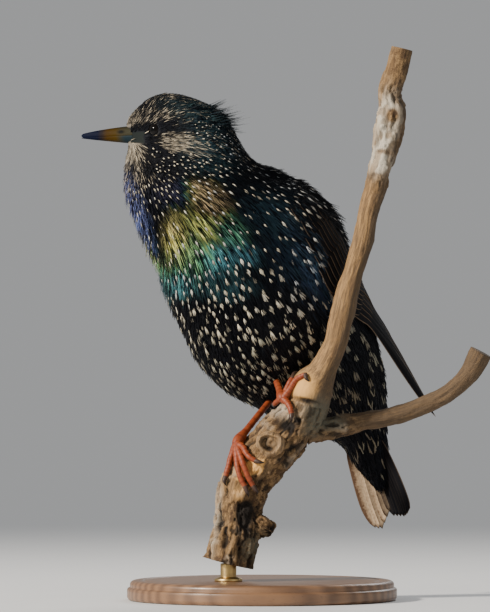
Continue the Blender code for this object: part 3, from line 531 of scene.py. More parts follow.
@dataclass(frozen=True)
class BillHorn:
    """Horn that runs from pale blue-grey at the root through ochre to a blue-black tip."""

    stops: tuple = ((0, (0.03, 0.028, 0.014)), (0.3, (0.034, 0.029, 0.013)),
                    (0.4, (0.036, 0.026, 0.008)), (0.47, (0.043, 0.024, 0.0015)),
                    (0.6, (0.038, 0.018, 0.0012)), (0.67, (0.014, 0.009, 0.008)),
                    (0.75, (0.0018, 0.0034, 0.015)), (1, (0.001, 0.0035, 0.018)))
    pale: tuple = (0.01, 0.02, 0.026)

    @cache
    def make(self) -> Material:
        """The material, read from run, the share from the root to the tip."""
        p = Painter("bill_horn")
        run, top = p.number("run"), p.number("ridge")
        fine = p.noise(p.stretch(p.place(), (1, 1, 5)), 700, 4)
        colour = p.ramp((run + (fine - 0.5) * 0.07).limit(), self.stops)
        colour = p.blend(p.number("under") * (1 - run.step(0.3, 0.46)), colour, self.pale)
        colour = p.blend((top * (1 - run.step(0.35, 0.7)) * 0.8).limit(), colour, (0.004, 0.005, 0.005))
        p.dress(Base_Color=colour, Roughness=0.5 + fine * 0.2, Specular_IOR_Level=0.06)
        p.relief(fine, 0.00012, 0.35)
        return p.material


@dataclass(frozen=True)
class BirdEye:
    """A dark brown eye with a black pupil under a wet clear coat."""

    @cache
    def make(self) -> Material:
        """The material, read from pupil, the share from the pupil's middle to the eye's rim."""
        p = Painter("bird_eye")
        out = p.number("pupil")
        rays = p.noise(p.place(), 3000, 2)
        iris = p.blend(rays, (0.0018, 0.0012, 0.001), (0.005, 0.003, 0.002))
        colour = p.blend(out.step(0.4, 0.46), (0.002, 0.002, 0.002), iris)
        p.dress(Base_Color=p.blend(out.step(0.78, 0.95), colour, (0.006, 0.005, 0.005)),
                Roughness=0.12, Specular_IOR_Level=0.15, Coat_Weight=0.1, Coat_Roughness=0.03)
        return p.material


@dataclass(frozen=True)
class LidSkin:
    """The bare black skin of the eyelids."""

    @cache
    def make(self) -> Material:
        """The material: near black with fine creases."""
        p = Painter("lid_skin")
        crease = p.noise(p.place(), 4200, 2)
        p.dress(Base_Color=p.blend(crease, (0.0015, 0.0015, 0.002), (0.004, 0.004, 0.0045)), Roughness=0.9,
                Specular_IOR_Level=0)
        p.relief(crease, 0.0001, 0.4)
        return p.material


@dataclass(frozen=True)
class LegScales:
    """Orange-red scutes, darker in their joints and toward the soles."""

    red: tuple = (0.36, 0.062, 0.014)
    deep: tuple = (0.09, 0.013, 0.006)
    light: tuple = (0.5, 0.125, 0.035)

    @cache
    def make(self) -> Material:
        """The material, read from joint, 1 in the grooves, and back, 1 behind the leg."""
        p = Painter("leg_scales")
        joint, back = p.number("joint"), p.number("back")
        spots = p.noise(p.place(), 1100, 4)
        colour = p.blend(spots.step(0.35, 0.7), self.red, self.light)
        colour = p.blend((joint * 0.75 + back * 0.5 + spots * 0.25 - 0.1).limit(), colour, self.deep)
        p.dress(Base_Color=colour, Roughness=0.48 + joint * 0.25, Specular_IOR_Level=0.35)
        p.relief(p.noise(p.place(), 2600, 3) - joint * 0.5, 0.00015, 0.5)
        return p.material


@dataclass(frozen=True)
class ClawHorn:
    """Dark brown horn, paler at the root."""

    @cache
    def make(self) -> Material:
        """The material, read from run, the share from the root to the tip."""
        p = Painter("claw_horn")
        fine = p.noise(p.place(), 1500)
        share = (p.number("run") + fine * 0.3 - 0.15).limit()
        p.dress(Base_Color=p.blend(share, (0.075, 0.042, 0.03), (0.013, 0.01, 0.009)),
                Roughness=0.42, Specular_IOR_Level=0.3)
        p.relief(fine, 0.0001, 0.3)
        return p.material


@dataclass(frozen=True)
class Bark:
    """Weathered wood and flaking bark, coloured by the piece's own numbers, with painted shade and a painted
    sunlit patch.
    """

    tan: tuple = (0.43, 0.255, 0.105)
    grey: tuple = (0.14, 0.085, 0.045)
    sunlit_gold: tuple = (0.8, 0.44, 0.14)
    rust: tuple = (0.52, 0.28, 0.1)
    umber: tuple = (0.13, 0.075, 0.035)
    shade: tuple = (0.072, 0.052, 0.036)
    white: tuple = (0.56, 0.5, 0.4)
    brown: tuple = (0.085, 0.048, 0.024)
    plate: tuple = (0.3, 0.185, 0.085)
    gap: tuple = (0.026, 0.016, 0.009)
    black: tuple = (0.012, 0.009, 0.007)
    lichen: tuple = (0.12, 0.125, 0.095)

    @cache
    def make(self) -> Material:
        """The material: tan wood with long grain, white scars, brown bark and lichen, plus painted shade and
        a painted sunlit gold.
        """
        p = Painter("bark")
        bare, white, pit, moss, away = (p.number(k) for k in ("bare", "white", "pit", "moss", "away"))
        lay = p.number("lay", "Vector")
        long_grain = p.noise(p.stretch(lay, (1, 1, 0.07)), 1.6, 5, 0.65)
        mottle = p.noise(p.stretch(lay, (1, 1, 0.6)), 0.5, 5, 0.62)
        fine = p.noise(lay, 3.2, 4, 0.6)
        wood = p.blend(long_grain.step(0.35, 0.68), self.grey, self.tan)
        wood = p.blend(mottle.step(0.55, 0.75) * 0.5, wood, self.rust)
        wood = p.blend(p.noise(lay, 1.7, 5, 0.7).step(0.54, 0.66) * 0.55, wood, self.umber)
        # Painted shade: away darkens the side of a limb turned from the key light, broken up by mottle.
        wood = p.blend((away * 0.85 + (mottle - 0.45) * 0.9).limit() * 0.88, wood, self.shade)
        # Painted sunlight: where bare passes 1, the bare wood is brightened to gold as a sunlit patch.
        wood = p.blend(bare.step(1, 1.5) * 0.9, wood, self.sunlit_gold)
        crust = p.blend(mottle.step(0.4, 0.62), self.brown, self.plate)
        crust = p.blend(fine.step(0.45, 0.7) * 0.8, crust, self.gap)
        colour = p.blend((bare + (fine - 0.5) * 0.6).limit(), crust, wood)
        scar = white * (fine + mottle * 0.5 + white * 0.2).step(0.5, 0.8)
        colour = p.blend(scar.limit(), colour, self.white)
        colour = p.blend((moss * fine.step(0.28, 0.56) * 0.85).limit(), colour, self.lichen)
        # Painted shade: pits, cracks, the fork's crotch and the knob's hollow are darkened toward near black.
        colour = p.blend((pit + (fine - 0.5) * 0.35 * pit).limit(), colour, self.black)
        p.dress(Base_Color=colour, Roughness=0.72 + 0.2 * fine, Specular_IOR_Level=0.25)
        p.relief(long_grain * 0.5 + fine * 0.4 + mottle * 0.4, 0.0009, 0.7)
        return p.material


@dataclass(frozen=True)
class TurnedWood:
    """Dark oiled wood with growth rings, turned on a lathe."""

    @cache
    def make(self) -> Material:
        """The material: straight bands bent by noise, with pores along the grain."""
        p = Painter("turned_wood")
        bent = p.noise(p.stretch(p.place(), (1, 6, 1)), 14)
        bands = p.node("TexWave", {"wave_type": "BANDS", "bands_direction": "Y"},
                       {"Vector": p.place(), "Scale": 62.0, "Distortion": 5.0, "Detail": 3.0,
                        "Detail Scale": 0.7}, 1)
        pores = p.noise(p.stretch(p.place(), (0.06, 1, 1)), 2600, 2)
        colour = p.blend((bands * 0.7 + bent * 0.4).limit(), (0.105, 0.052, 0.026), (0.235, 0.125, 0.062))
        colour = p.blend(pores.step(0.62, 0.75) * 0.6, colour, (0.04, 0.02, 0.012))
        p.dress(Base_Color=colour, Roughness=0.34 + 0.2 * pores, Coat_Weight=0.25, Coat_Roughness=0.25)
        p.relief(bands * 0.4 - pores.step(0.6, 0.78), 0.00015, 0.35)
        return p.material


@dataclass(frozen=True)
class BrushedBrass:
    """Brass, turned and a little dulled."""

    @cache
    def make(self) -> Material:
        """The material: fine rings round the rod and soft tarnish."""
        p = Painter("brushed_brass")
        rings = p.noise(p.stretch(p.place(), (0.05, 0.05, 1)), 9000, 2)
        dull = p.noise(p.place(), 260, 4)
        p.dress(Base_Color=p.blend(dull.step(0.4, 0.75), (0.62, 0.44, 0.18), (0.36, 0.25, 0.12)),
                Metallic=1, Roughness=0.22 + 0.22 * dull + 0.08 * rings)
        p.relief(rings, 0.00005, 0.3)
        return p.material


# --- the trunk ---
@dataclass
class Trunk:
    """Head, neck, body and tail coverts as one surface of egg-shaped rings.

    A place on it is its ring, from 0 at the crown to the last at the tail coverts' end, and a
    turn, 0 at the back side and half a turn at the throat side.
    """

    skin_depth: float = 0.9
    rings_along: int = 300
    sides: int = 132
    strides: int = 4
    fine_rings: int = 400
    fine_turns: int = 48
    stray: float = 0.16

    def __post_init__(self) -> None:
        """Works out each ring's middle, chord, side and egg."""
        body_chord = unit([DORSAL[0] * math.cos(DORSAL_TURN) + LEFT[0] * math.sin(DORSAL_TURN), 0,
                           DORSAL[2] * math.cos(DORSAL_TURN)])
        body_side = np.cross(FORWARD, body_chord)
        r = np.array(RINGS)
        low, high = np.stack((r[:, 0], r[:, 4], r[:, 1]), 1), np.stack((r[:, 2], r[:, 4], r[:, 3]), 1)
        turn = r[:, 7:8]
        chord = unit(body_chord * (1 - turn) - BILL_WAY * turn)
        lean = unit(high - low)
        flat = np.hypot(chord[:, 0], chord[:, 2])
        chord = np.stack((lean[:, 0] * flat, chord[:, 1], lean[:, 2] * flat), 1)
        side = body_side * (1 - turn) - HEAD_LEFT * turn
        side = unit(side - chord * np.sum(side * chord, 1, keepdims=True))
        half = (np.linalg.norm(high - low, axis=1) / 2 / flat)[:, None]
        rows = np.concatenate(((low + high) / 2, chord * half, side * r[:, 5:6], r[:, 6:7], turn), 1)
        self.tail_way = unit([0.335, 0.06, -0.94])
        tail_left = np.array([0.8, -0.55, 0.22])
        self.tail_left = unit(tail_left - self.tail_way * (tail_left @ self.tail_way))
        self.tail_out = unit(np.cross(self.tail_way, self.tail_left))
        self.tail_root = rows[-1, :3] + self.tail_way * 3.2 - self.tail_out * 1.6
        spin = math.atan2(-(rows[-1, 6:9] @ self.tail_left), rows[-1, 3:6] @ -self.tail_out)
        more = []
        for drop, wide, deep in COVERT_DROPS:
            middle = self.tail_root + self.tail_way * drop + self.tail_out
            more.append(np.concatenate((
                middle,
                -math.cos(spin) * self.tail_out * deep + math.sin(spin) * self.tail_left * wide,
                -math.sin(spin) * self.tail_out * deep - math.cos(spin) * self.tail_left * wide, [0, 0])))
        self.rows = np.concatenate((rows, np.array(more)))
        self.last = len(self.rows) - 1
        self.marks = np.arange(len(self.rows), dtype=float)
        self.chin = EYE_LEVEL + BILL_WAY * 10 + UP * -4

    def place(self, at: Array, turn: Array) -> Array:
        """Points on the surface: middle + cos turn * chord + sin turn * (1 + egg cos turn) * side."""
        row = read_curve(self.marks, self.rows, np.clip(at, 0, self.last))
        c, s = np.cos(turn)[:, None], np.sin(turn)[:, None]
        return row[:, :3] + c * row[:, 3:6] + s * (1 + row[:, 9:10] * c) * row[:, 6:9]

    def surface(self, at: Array, turn: Array) -> tuple[Array, ...]:
        """Points at rings and turns, their outward ways, and their slopes by ring and by turn."""
        low, high = np.clip(at - 0.03, 0, self.last), np.clip(at + 0.03, 0, self.last)
        here = self.place(at, turn)
        by_ring = (self.place(high, turn) - self.place(low, turn)) / (high - low)[:, None]
        by_turn = (self.place(at, turn + 0.01) - self.place(at, turn - 0.01)) / 0.02
        out = unit(np.cross(by_turn, by_ring))
        middle = read_curve(self.marks, self.rows[:, :3], np.clip(at, 0, self.last))
        out = np.where(np.sum(out * (here - middle), 1, keepdims=True) < 0, -out, out)
        return here, out, by_ring, by_turn

    def dorsal(self, at: Array) -> Array:
        """How far the belly's middle line is turned off the rings' own, in radians."""
        return DORSAL_TURN * (1 - np.interp(at, self.marks, self.rows[:, 10]))

    def belly_turn(self, at: Array, turn: Array) -> Array:
        """Degrees round from the throat's and belly's middle line: plus is the bird's left."""
        return np.degrees(turn - self.dorsal(at)) % 360 - 180

    def twin(self, at: Array, turn: Array) -> tuple[Array, Array]:
        """Where a place, or its mirror on the bird's left, is seen in the picture frame."""
        around = np.radians(np.abs(self.belly_turn(at, turn)) + 180)
        return seen(self.place(at, around + self.dorsal(at)))

    def comb(self, at: Array, turn: Array, length: Array) -> tuple[Array, ...]:
        """Lines that follow the lie of the coat over the surface, past its ends in straight lines.

        The coat lies away from the bill on the head, and tailward on the body.
        Each step solves for the ring and turn whose move is the way times a share of the length.

        Args:
            at: the roots' rings.
            turn: their turns.
            length: the lines' lengths.

        Returns:
            Points, outward ways, ways, rings and turns, each by root and by step.
        """
        at, turn = at.copy(), turn.copy()
        found: list[tuple[Array, ...]] = []
        over = np.zeros(len(at), bool)
        for _ in range(self.strides + 1):
            here, out, by_ring, by_turn = self.surface(at, turn)
            away = here - self.chin
            near = 1 - ease(20, 84, np.linalg.norm(away, axis=1, keepdims=True))
            late = ease(18.5, 23, at)[:, None]
            tailward = unit(-FORWARD * (1 - late) + self.tail_way * late)
            flow = unit(away) * near + tailward * (1 - near) - BILL_WAY * 0.25 * near
            way = unit(flow - out * np.sum(flow * out, 1, keepdims=True))
            if found:
                last = found[-1]
                over |= (at < 0) | (at > self.last)
                straight = over[:, None]
                here = np.where(straight, last[0] + last[2] * (length / self.strides)[:, None], here)
                out, way = np.where(straight, last[1], out), np.where(straight, last[2], way)
            found.append((here, out, way, at.copy(), turn.copy()))
            g11, g22, g12 = np.sum(by_ring**2, 1), np.sum(by_turn**2, 1), np.sum(by_ring * by_turn, 1)
            b1, b2 = np.sum(way * by_ring, 1), np.sum(way * by_turn, 1)
            move = length / self.strides / np.maximum(g11 * g22 - g12**2, 1e-9)
            at += np.clip((g22 * b1 - g12 * b2) * move, -1.5, 1.5)
            turn += np.clip((g11 * b2 - g12 * b1) * move, -0.6, 0.6)
        return tuple(np.stack([row[k] for row in found], 1) for k in range(5))

    def scatter(self, start: float, end: float, pitch: Any, seed: int) -> tuple[Array, Array]:
        """Roots in staggered rows, thinned where the rows run close.

        Args:
            start: the first ring.
            end: the last ring.
            pitch: gives the wanted distance by ring and belly turn.
            seed: the random draw.

        Returns:
            The roots' rings and turns.
        """
        draw = np.random.default_rng(seed)
        fine = np.linspace(start, end, self.fine_rings)
        around = np.linspace(0, 2 * math.pi, self.fine_turns, endpoint=False)
        rings, turns = (g.ravel() for g in np.meshgrid(fine, around, indexing="ij"))
        _, _, by_ring, by_turn = self.surface(rings, turns)
        wanted = pitch(rings, self.belly_turn(rings, turns))
        tall, girth = ((np.linalg.norm(by, axis=1) / wanted).reshape(len(fine), -1).max(1)
                       for by in (by_ring, by_turn))
        marks = np.concatenate(([0], np.cumsum((tall[1:] + tall[:-1]) / 2 * np.diff(fine))))
        rows = np.interp(np.arange(0.5, marks[-1]), marks, fine)
        counts = np.ceil(np.interp(rows, fine, girth) * 2 * math.pi).astype(int) + 1
        at, each = np.repeat(rows, counts), np.repeat(counts, counts)
        number = np.concatenate([np.arange(c) + 0.5 * (k % 2) for k, c in enumerate(counts)])
        turn = (number + draw.normal(0, self.stray, len(at))) / each * 2 * math.pi
        at = np.clip(at + draw.normal(0, self.stray, len(at)) / np.interp(at, fine, tall), start, end)
        _, _, by_ring, by_turn = self.surface(at, turn)
        cell = np.linalg.norm(np.cross(by_ring, by_turn), axis=1) / np.interp(at, fine, tall)
        keep = draw.random(len(at)) < cell * 2 * math.pi / each / pitch(at, self.belly_turn(at, turn)) ** 2
        return at[keep], turn[keep]


# --- markings ---
@dataclass(frozen=True)
class Mark:
    """A soft oval on the plumage: middle, half widths, turn in degrees, value and strength."""

    across: float
    down: float
    wide: float
    tall: float
    turn: float
    value: float
    strength: float = 1.0

    def cover(self, x: Array, y: Array) -> Array:
        """How strongly it covers places of the picture frame: a bell of the oval's own radius."""
        a = math.radians(self.turn)
        dx, dy = x - self.across, y - self.down
        u = (dx * math.cos(a) + dy * math.sin(a)) / self.wide
        v = (-dx * math.sin(a) + dy * math.cos(a)) / self.tall
        return self.strength * np.exp(-((u * u + v * v) ** 1.5))


def marks(*rows: tuple) -> tuple:
    """Ovals from rows of their numbers."""
    return tuple(Mark(*row) for row in rows)


@dataclass
class Markings:
    """Where the plumage's painted iridescent highlights lie, in which hue, and where it is pale."""

    sheens: tuple = marks(
        (129, 205, 9, 34, -8, 0.1, 0.6), (140, 230, 6, 28, -10, 0.16, 0.6),
        (164, 223, 9, 18, -10, 0.88, 0.95), (188, 214, 17, 10, 30, 0.79, 0.95),
        (216, 217, 14, 12, 35, 0.58, 0.6), (178, 240, 18, 17, -10, 0.69, 0.95),
        (203, 243, 16, 11, 0, 0.42, 0.75), (230, 236, 15, 9, 10, 0.38, 0.38),
        (173, 262, 13, 11, 0, 0.43, 0.65), (215, 266, 26, 12, 0, 0.4, 0.14),
        (172, 295, 8, 28, -14, 0.42, 0.34), (166, 186, 20, 10, 0, 0.02, 0.06),
        (196, 191, 17, 11, 20, 1, 0.95), (285, 240, 34, 26, 40, 0.28, 0.06),
        (315, 270, 18, 24, 0, 0.24, 0.07), (205, 150, 26, 26, 0, 0.38, 0.05),
        (190, 112, 30, 12, 10, 0.4, 0.04), (255, 200, 26, 20, 0, 0.34, 0.06))
    pales: tuple = marks(
        (138, 110, 15, 15, 0, 0.18, 1), (160, 102, 22, 12, 0, 0.12, 1), (137, 124, 15, 4, 0, 0.75, 1.2),
        (165, 117, 16, 5, -10, 0.45, 0.8), (192, 112, 30, 13, 12, 0.07, 1.2), (132, 131, 7, 3, 0, 0, 2.2),
        (152, 138, 9, 16, 0, 0, 1), (143, 134, 8, 9, 0, 0, 1.8), (160, 130, 17, 6, 0, 0, 1.8),
        (184, 130, 10, 5, 0, 0.04, 1.3), (168, 143, 13, 7, 8, 0.74, 1.5), (185, 147, 12, 9, 12, 0.6, 1.2),
        (202, 150, 14, 18, 0, 0.18, 0.8), (222, 145, 14, 30, 0, 0.07, 0.9), (134, 160, 9, 16, 0, 0.78, 1.3),
        (147, 164, 6, 14, 0, 0.22, 1), (168, 172, 18, 20, 0, 0.02, 1.5), (128, 186, 7, 16, 0, 0.5, 1),
        (140, 200, 12, 20, 0, 0.18, 0.8), (155, 153, 7, 7, 0, 0, 1.4))

    def gloss(self, x: Array, y: Array) -> tuple[Array, Array]:
        """Strength and hue of the painted highlights: the ovals' covers, and their values weighed by them."""
        covers = [m.cover(x, y) for m in self.sheens]
        total = sum(covers) + 1e-6
        hue = sum(c * m.value for c, m in zip(covers, self.sheens)) / total
        gone = np.prod([1 - np.clip(cover, 0, 0.98) for cover in covers], axis=0)
        return 1 - gone, np.where(total > 1e-3, hue, 0.3)

    def head_pale(self, x: Array, y: Array) -> Array:
        """The share of pale streaks on the head, the ovals' values weighed by their covers."""
        covers = [m.cover(x, y) ** 1.2 for m in self.pales]
        return (sum(c * m.value for c, m in zip(covers, self.pales)) + 0.006) / (sum(covers) + 0.04)


# --- feathers ---
@dataclass
class Cut:
    """Strands that make up one feather: each a path over the feather, along t and across c."""

    t: Array
    c: Array
    half: Array
    high: float

    @staticmethod
    def of(t: Sequence[Array], c: Sequence[Array], widths: Array, high: float = 0.05) -> "Cut":
        """A cut whose strands all have the same half widths along them."""
        return Cut(np.array(t), np.array(c), np.repeat(widths[None], len(t), 0), high)

    @staticmethod
    def outline(t: float, narrow: bool) -> float:
        """Half the feather's width at a share of its length: pointed if narrow, else round."""
        if narrow:
            return 0.5 * ((t / 0.45) ** 0.5 if t < 0.45 else max(1 - (t - 0.45) / 0.58, 0) ** 0.7)
        return 0.5 * (0.4 + t if t < 0.6 else max(1 - ((t - 0.6) / 0.42) ** 2.2, 0) ** 0.5)

    @staticmethod
    def whole(barbs: int, narrow: bool, thick: float) -> "Cut":
        """A shaft with barbs on both sides, from the shaft to the outline.

        Args:
            barbs: barbs on each side.
            narrow: whether it is pointed.
            thick: a strand's half width, as a share of its width.

        Returns:
            The cut.
        """
        share = np.linspace(0, 1, 4)
        t, c = [share], [0 * share]
        for side in (-1, 1):
            for j in range(barbs):
                start = 0.02 + 0.66 * j / barbs
                end = min(start + 0.34, 0.99)
                t.append(start + (end - start) * share)
                c.append(side * Cut.outline(end, narrow) * share**0.8)
        return Cut.of(t, c, thick * np.array([1.0, 1.0, 0.75, 0.12]), 0.1)

    @staticmethod
    def wedge() -> "Cut":
        """A pale wedge at a round feather's tip: strands that open from its point to the rim."""
        t, c = [], []
        for side in (-1, 1):
            for t0, t1, c0, c1 in ((0, 0.8, 0.03, 0.46), (0.1, 0.94, 0.04, 0.33), (0.24, 0.92, 0.03, 0.17)):
                t.append(t0 + (t1 - t0) * HALVES)
                c.append(side * (c0 + (c1 - c0) * np.array([0.0, 0.55, 1.0])))
        return Cut.of(t, c, np.array([0.065, 0.13, 0.0585]))

    @staticmethod
    def fringe() -> "Cut":
        """Pale edges of a long covert: strands down both of its sides, closing at the tip."""
        t = [0.05 + 0.75 * HALVES, 0.3 + 0.66 * HALVES] * 2
        c = [side * np.array(row) for side in (-1.0, 1.0) for row in ((0.47, 0.49, 0.42), (0.49, 0.42, 0.12))]
        return Cut.of(t, c, np.array([0.036, 0.12, 0.084]))

    @staticmethod
    def drop() -> "Cut":
        """A pale drop at a pointed feather's tip: three strands that close to a point."""
        bow = np.array([0.15, 0.3, 0.12])
        side = 0.12 + 0.66 * HALVES
        return Cut.of([HALVES, side, side], [0 * bow, -bow, bow], np.array([0.144, 0.24, 0.072]))

    @staticmethod
    def hair(rows: int, side: float, thick: float) -> "Cut":
        """Single strands, or three side by side where side isn't 0."""
        share = np.linspace(0, 1, rows)
        offs = [0] if side == 0 else [-side, 0, side]
        return Cut.of([share - 0.04 * abs(o) for o in offs], [o * (1 - 0.5 * share) for o in offs],
                      thick * np.interp(share, HALVES, [0.8, 1, 0.1]), 0.16)


@dataclass
class Roots:
    """Feathers' centre lines and sizes, with the numbers that their strands carry."""

    lines: Array
    outs: Array
    ways: Array
    home: Array
    length: Array
    width: Array
    lift: Array
    numbers: Numbers
    zoom: Optional[Array] = None

    def pick(self, keep: Array) -> "Roots":
        """Only the feathers that keep names."""
        rows = {k: v[keep] for k, v in vars(self).items() if isinstance(v, np.ndarray)}
        return replace(self, **rows, numbers={k: v[keep] for k, v in self.numbers.items()})

    def carrying(self, *names: str) -> "Roots":
        """The same feathers with only the named numbers."""
        return replace(self, numbers={k: self.numbers[k] for k in names})

    def strands(self, cut: Cut, above: float, seed: int, wobble: float, camber: float, skip: float = 0.0,
                per_strand: bool = False) -> Shell:
        """Carries a cut's strands, closed three-sided slivers, onto every feather.

        A strand's middle is the line, plus the way across times c and the width, plus the
        outward way times the lift, which grows to the tip, less the camber times c squared.

        Args:
            cut: one feather's strands.
            above: height over the line.
            seed: the random draw.
            wobble: how far ends stray.
            camber: the sides' droop, as a share of the width.
            skip: the share left out.
            per_strand: whether each strand draws its own number own.

        Returns:
            The shell with its OFBake map.
        """
        draw = np.random.default_rng(seed)
        n, steps = self.lines.shape[:2]
        count, rows = cut.t.shape
        grow = np.linspace(0, 1, rows)
        t = cut.t + draw.normal(0, wobble, (n, count, 1)) * grow
        if self.zoom is not None:
            t = 1 - (1 - t) * self.zoom[:, None, None]
        c = cut.c + draw.normal(0, wobble * 1.6, (n, count, 1)) * grow
        kept = draw.random((n, count)) >= skip if skip > 0 else np.ones((n, count), bool)
        spot = np.clip(t, 0, 1.15) * (steps - 1)
        low = np.clip(spot.astype(int), 0, steps - 2)
        part = (spot - low)[..., None]
        who = np.arange(n)[:, None, None]
        line, out, way = (f[who, low] * (1 - part) + f[who, low + 1] * part
                          for f in (self.lines, self.outs, self.ways))
        out, way = unit(out), unit(way)
        across = unit(np.cross(way, out))
        width = self.width[:, None, None]
        rise = above + self.lift[:, None, None] * (np.clip(t, 0, 1.2) ** 2 - 0.25)
        rise = rise + draw.normal(0, 0.05, (n, count, 1)) * grow - camber * width * (2 * c) ** 2
        middle = line + across * (c * width)[..., None] + out * rise[..., None]
        half = across * (cut.half * width)[..., None]
        ridge = out * (cut.high * np.sqrt(width) * (1 - 0.6 * grow))[..., None]
        points = np.stack((middle - half, middle + ridge, middle + half), 3)[kept]
        ring = np.arange(3)
        cells = []
        for r in range(rows - 1):
            a, b = r * 3 + ring, r * 3 + (ring + 1) % 3
            cells += [np.stack((a, b, b + 3), 1), np.stack((a, b + 3, a + 3), 1)]
        one = np.concatenate(cells + [np.array([[0, 2, 1]]), np.array([[0, 1, 2]]) + (rows - 1) * 3])
        total = len(points)
        faces = (one[None] + (np.arange(total) * rows * 3)[:, None, None]).reshape(-1, 3)
        numbers = {}
        for key, values in self.numbers.items():
            wide = np.repeat(values[:, None], count, 1)[kept]
            if key == "own" and per_strand:
                wide = 0.45 * wide + 0.55 * draw.random(total)
            numbers[key] = np.repeat(wide, rows * 3)
        home = np.repeat(self.home[:, None], count, 1)[kept][:, None, None]
        lean = np.repeat(cut.c.mean(1)[None], n, 0)[kept][:, None, None]
        u = home[..., 0] + lean * 0.004 + (ring - 1) * 0.0014 + np.zeros((total, rows, 1))
        v = home[..., 1] + np.linspace(-0.0015, 0.0015, rows)[:, None] + np.zeros((total, 1, 3))
        return Shell(points.reshape(-1, 3), faces, numbers, {"OFBake": np.stack((u, v), -1).reshape(-1, 2)})


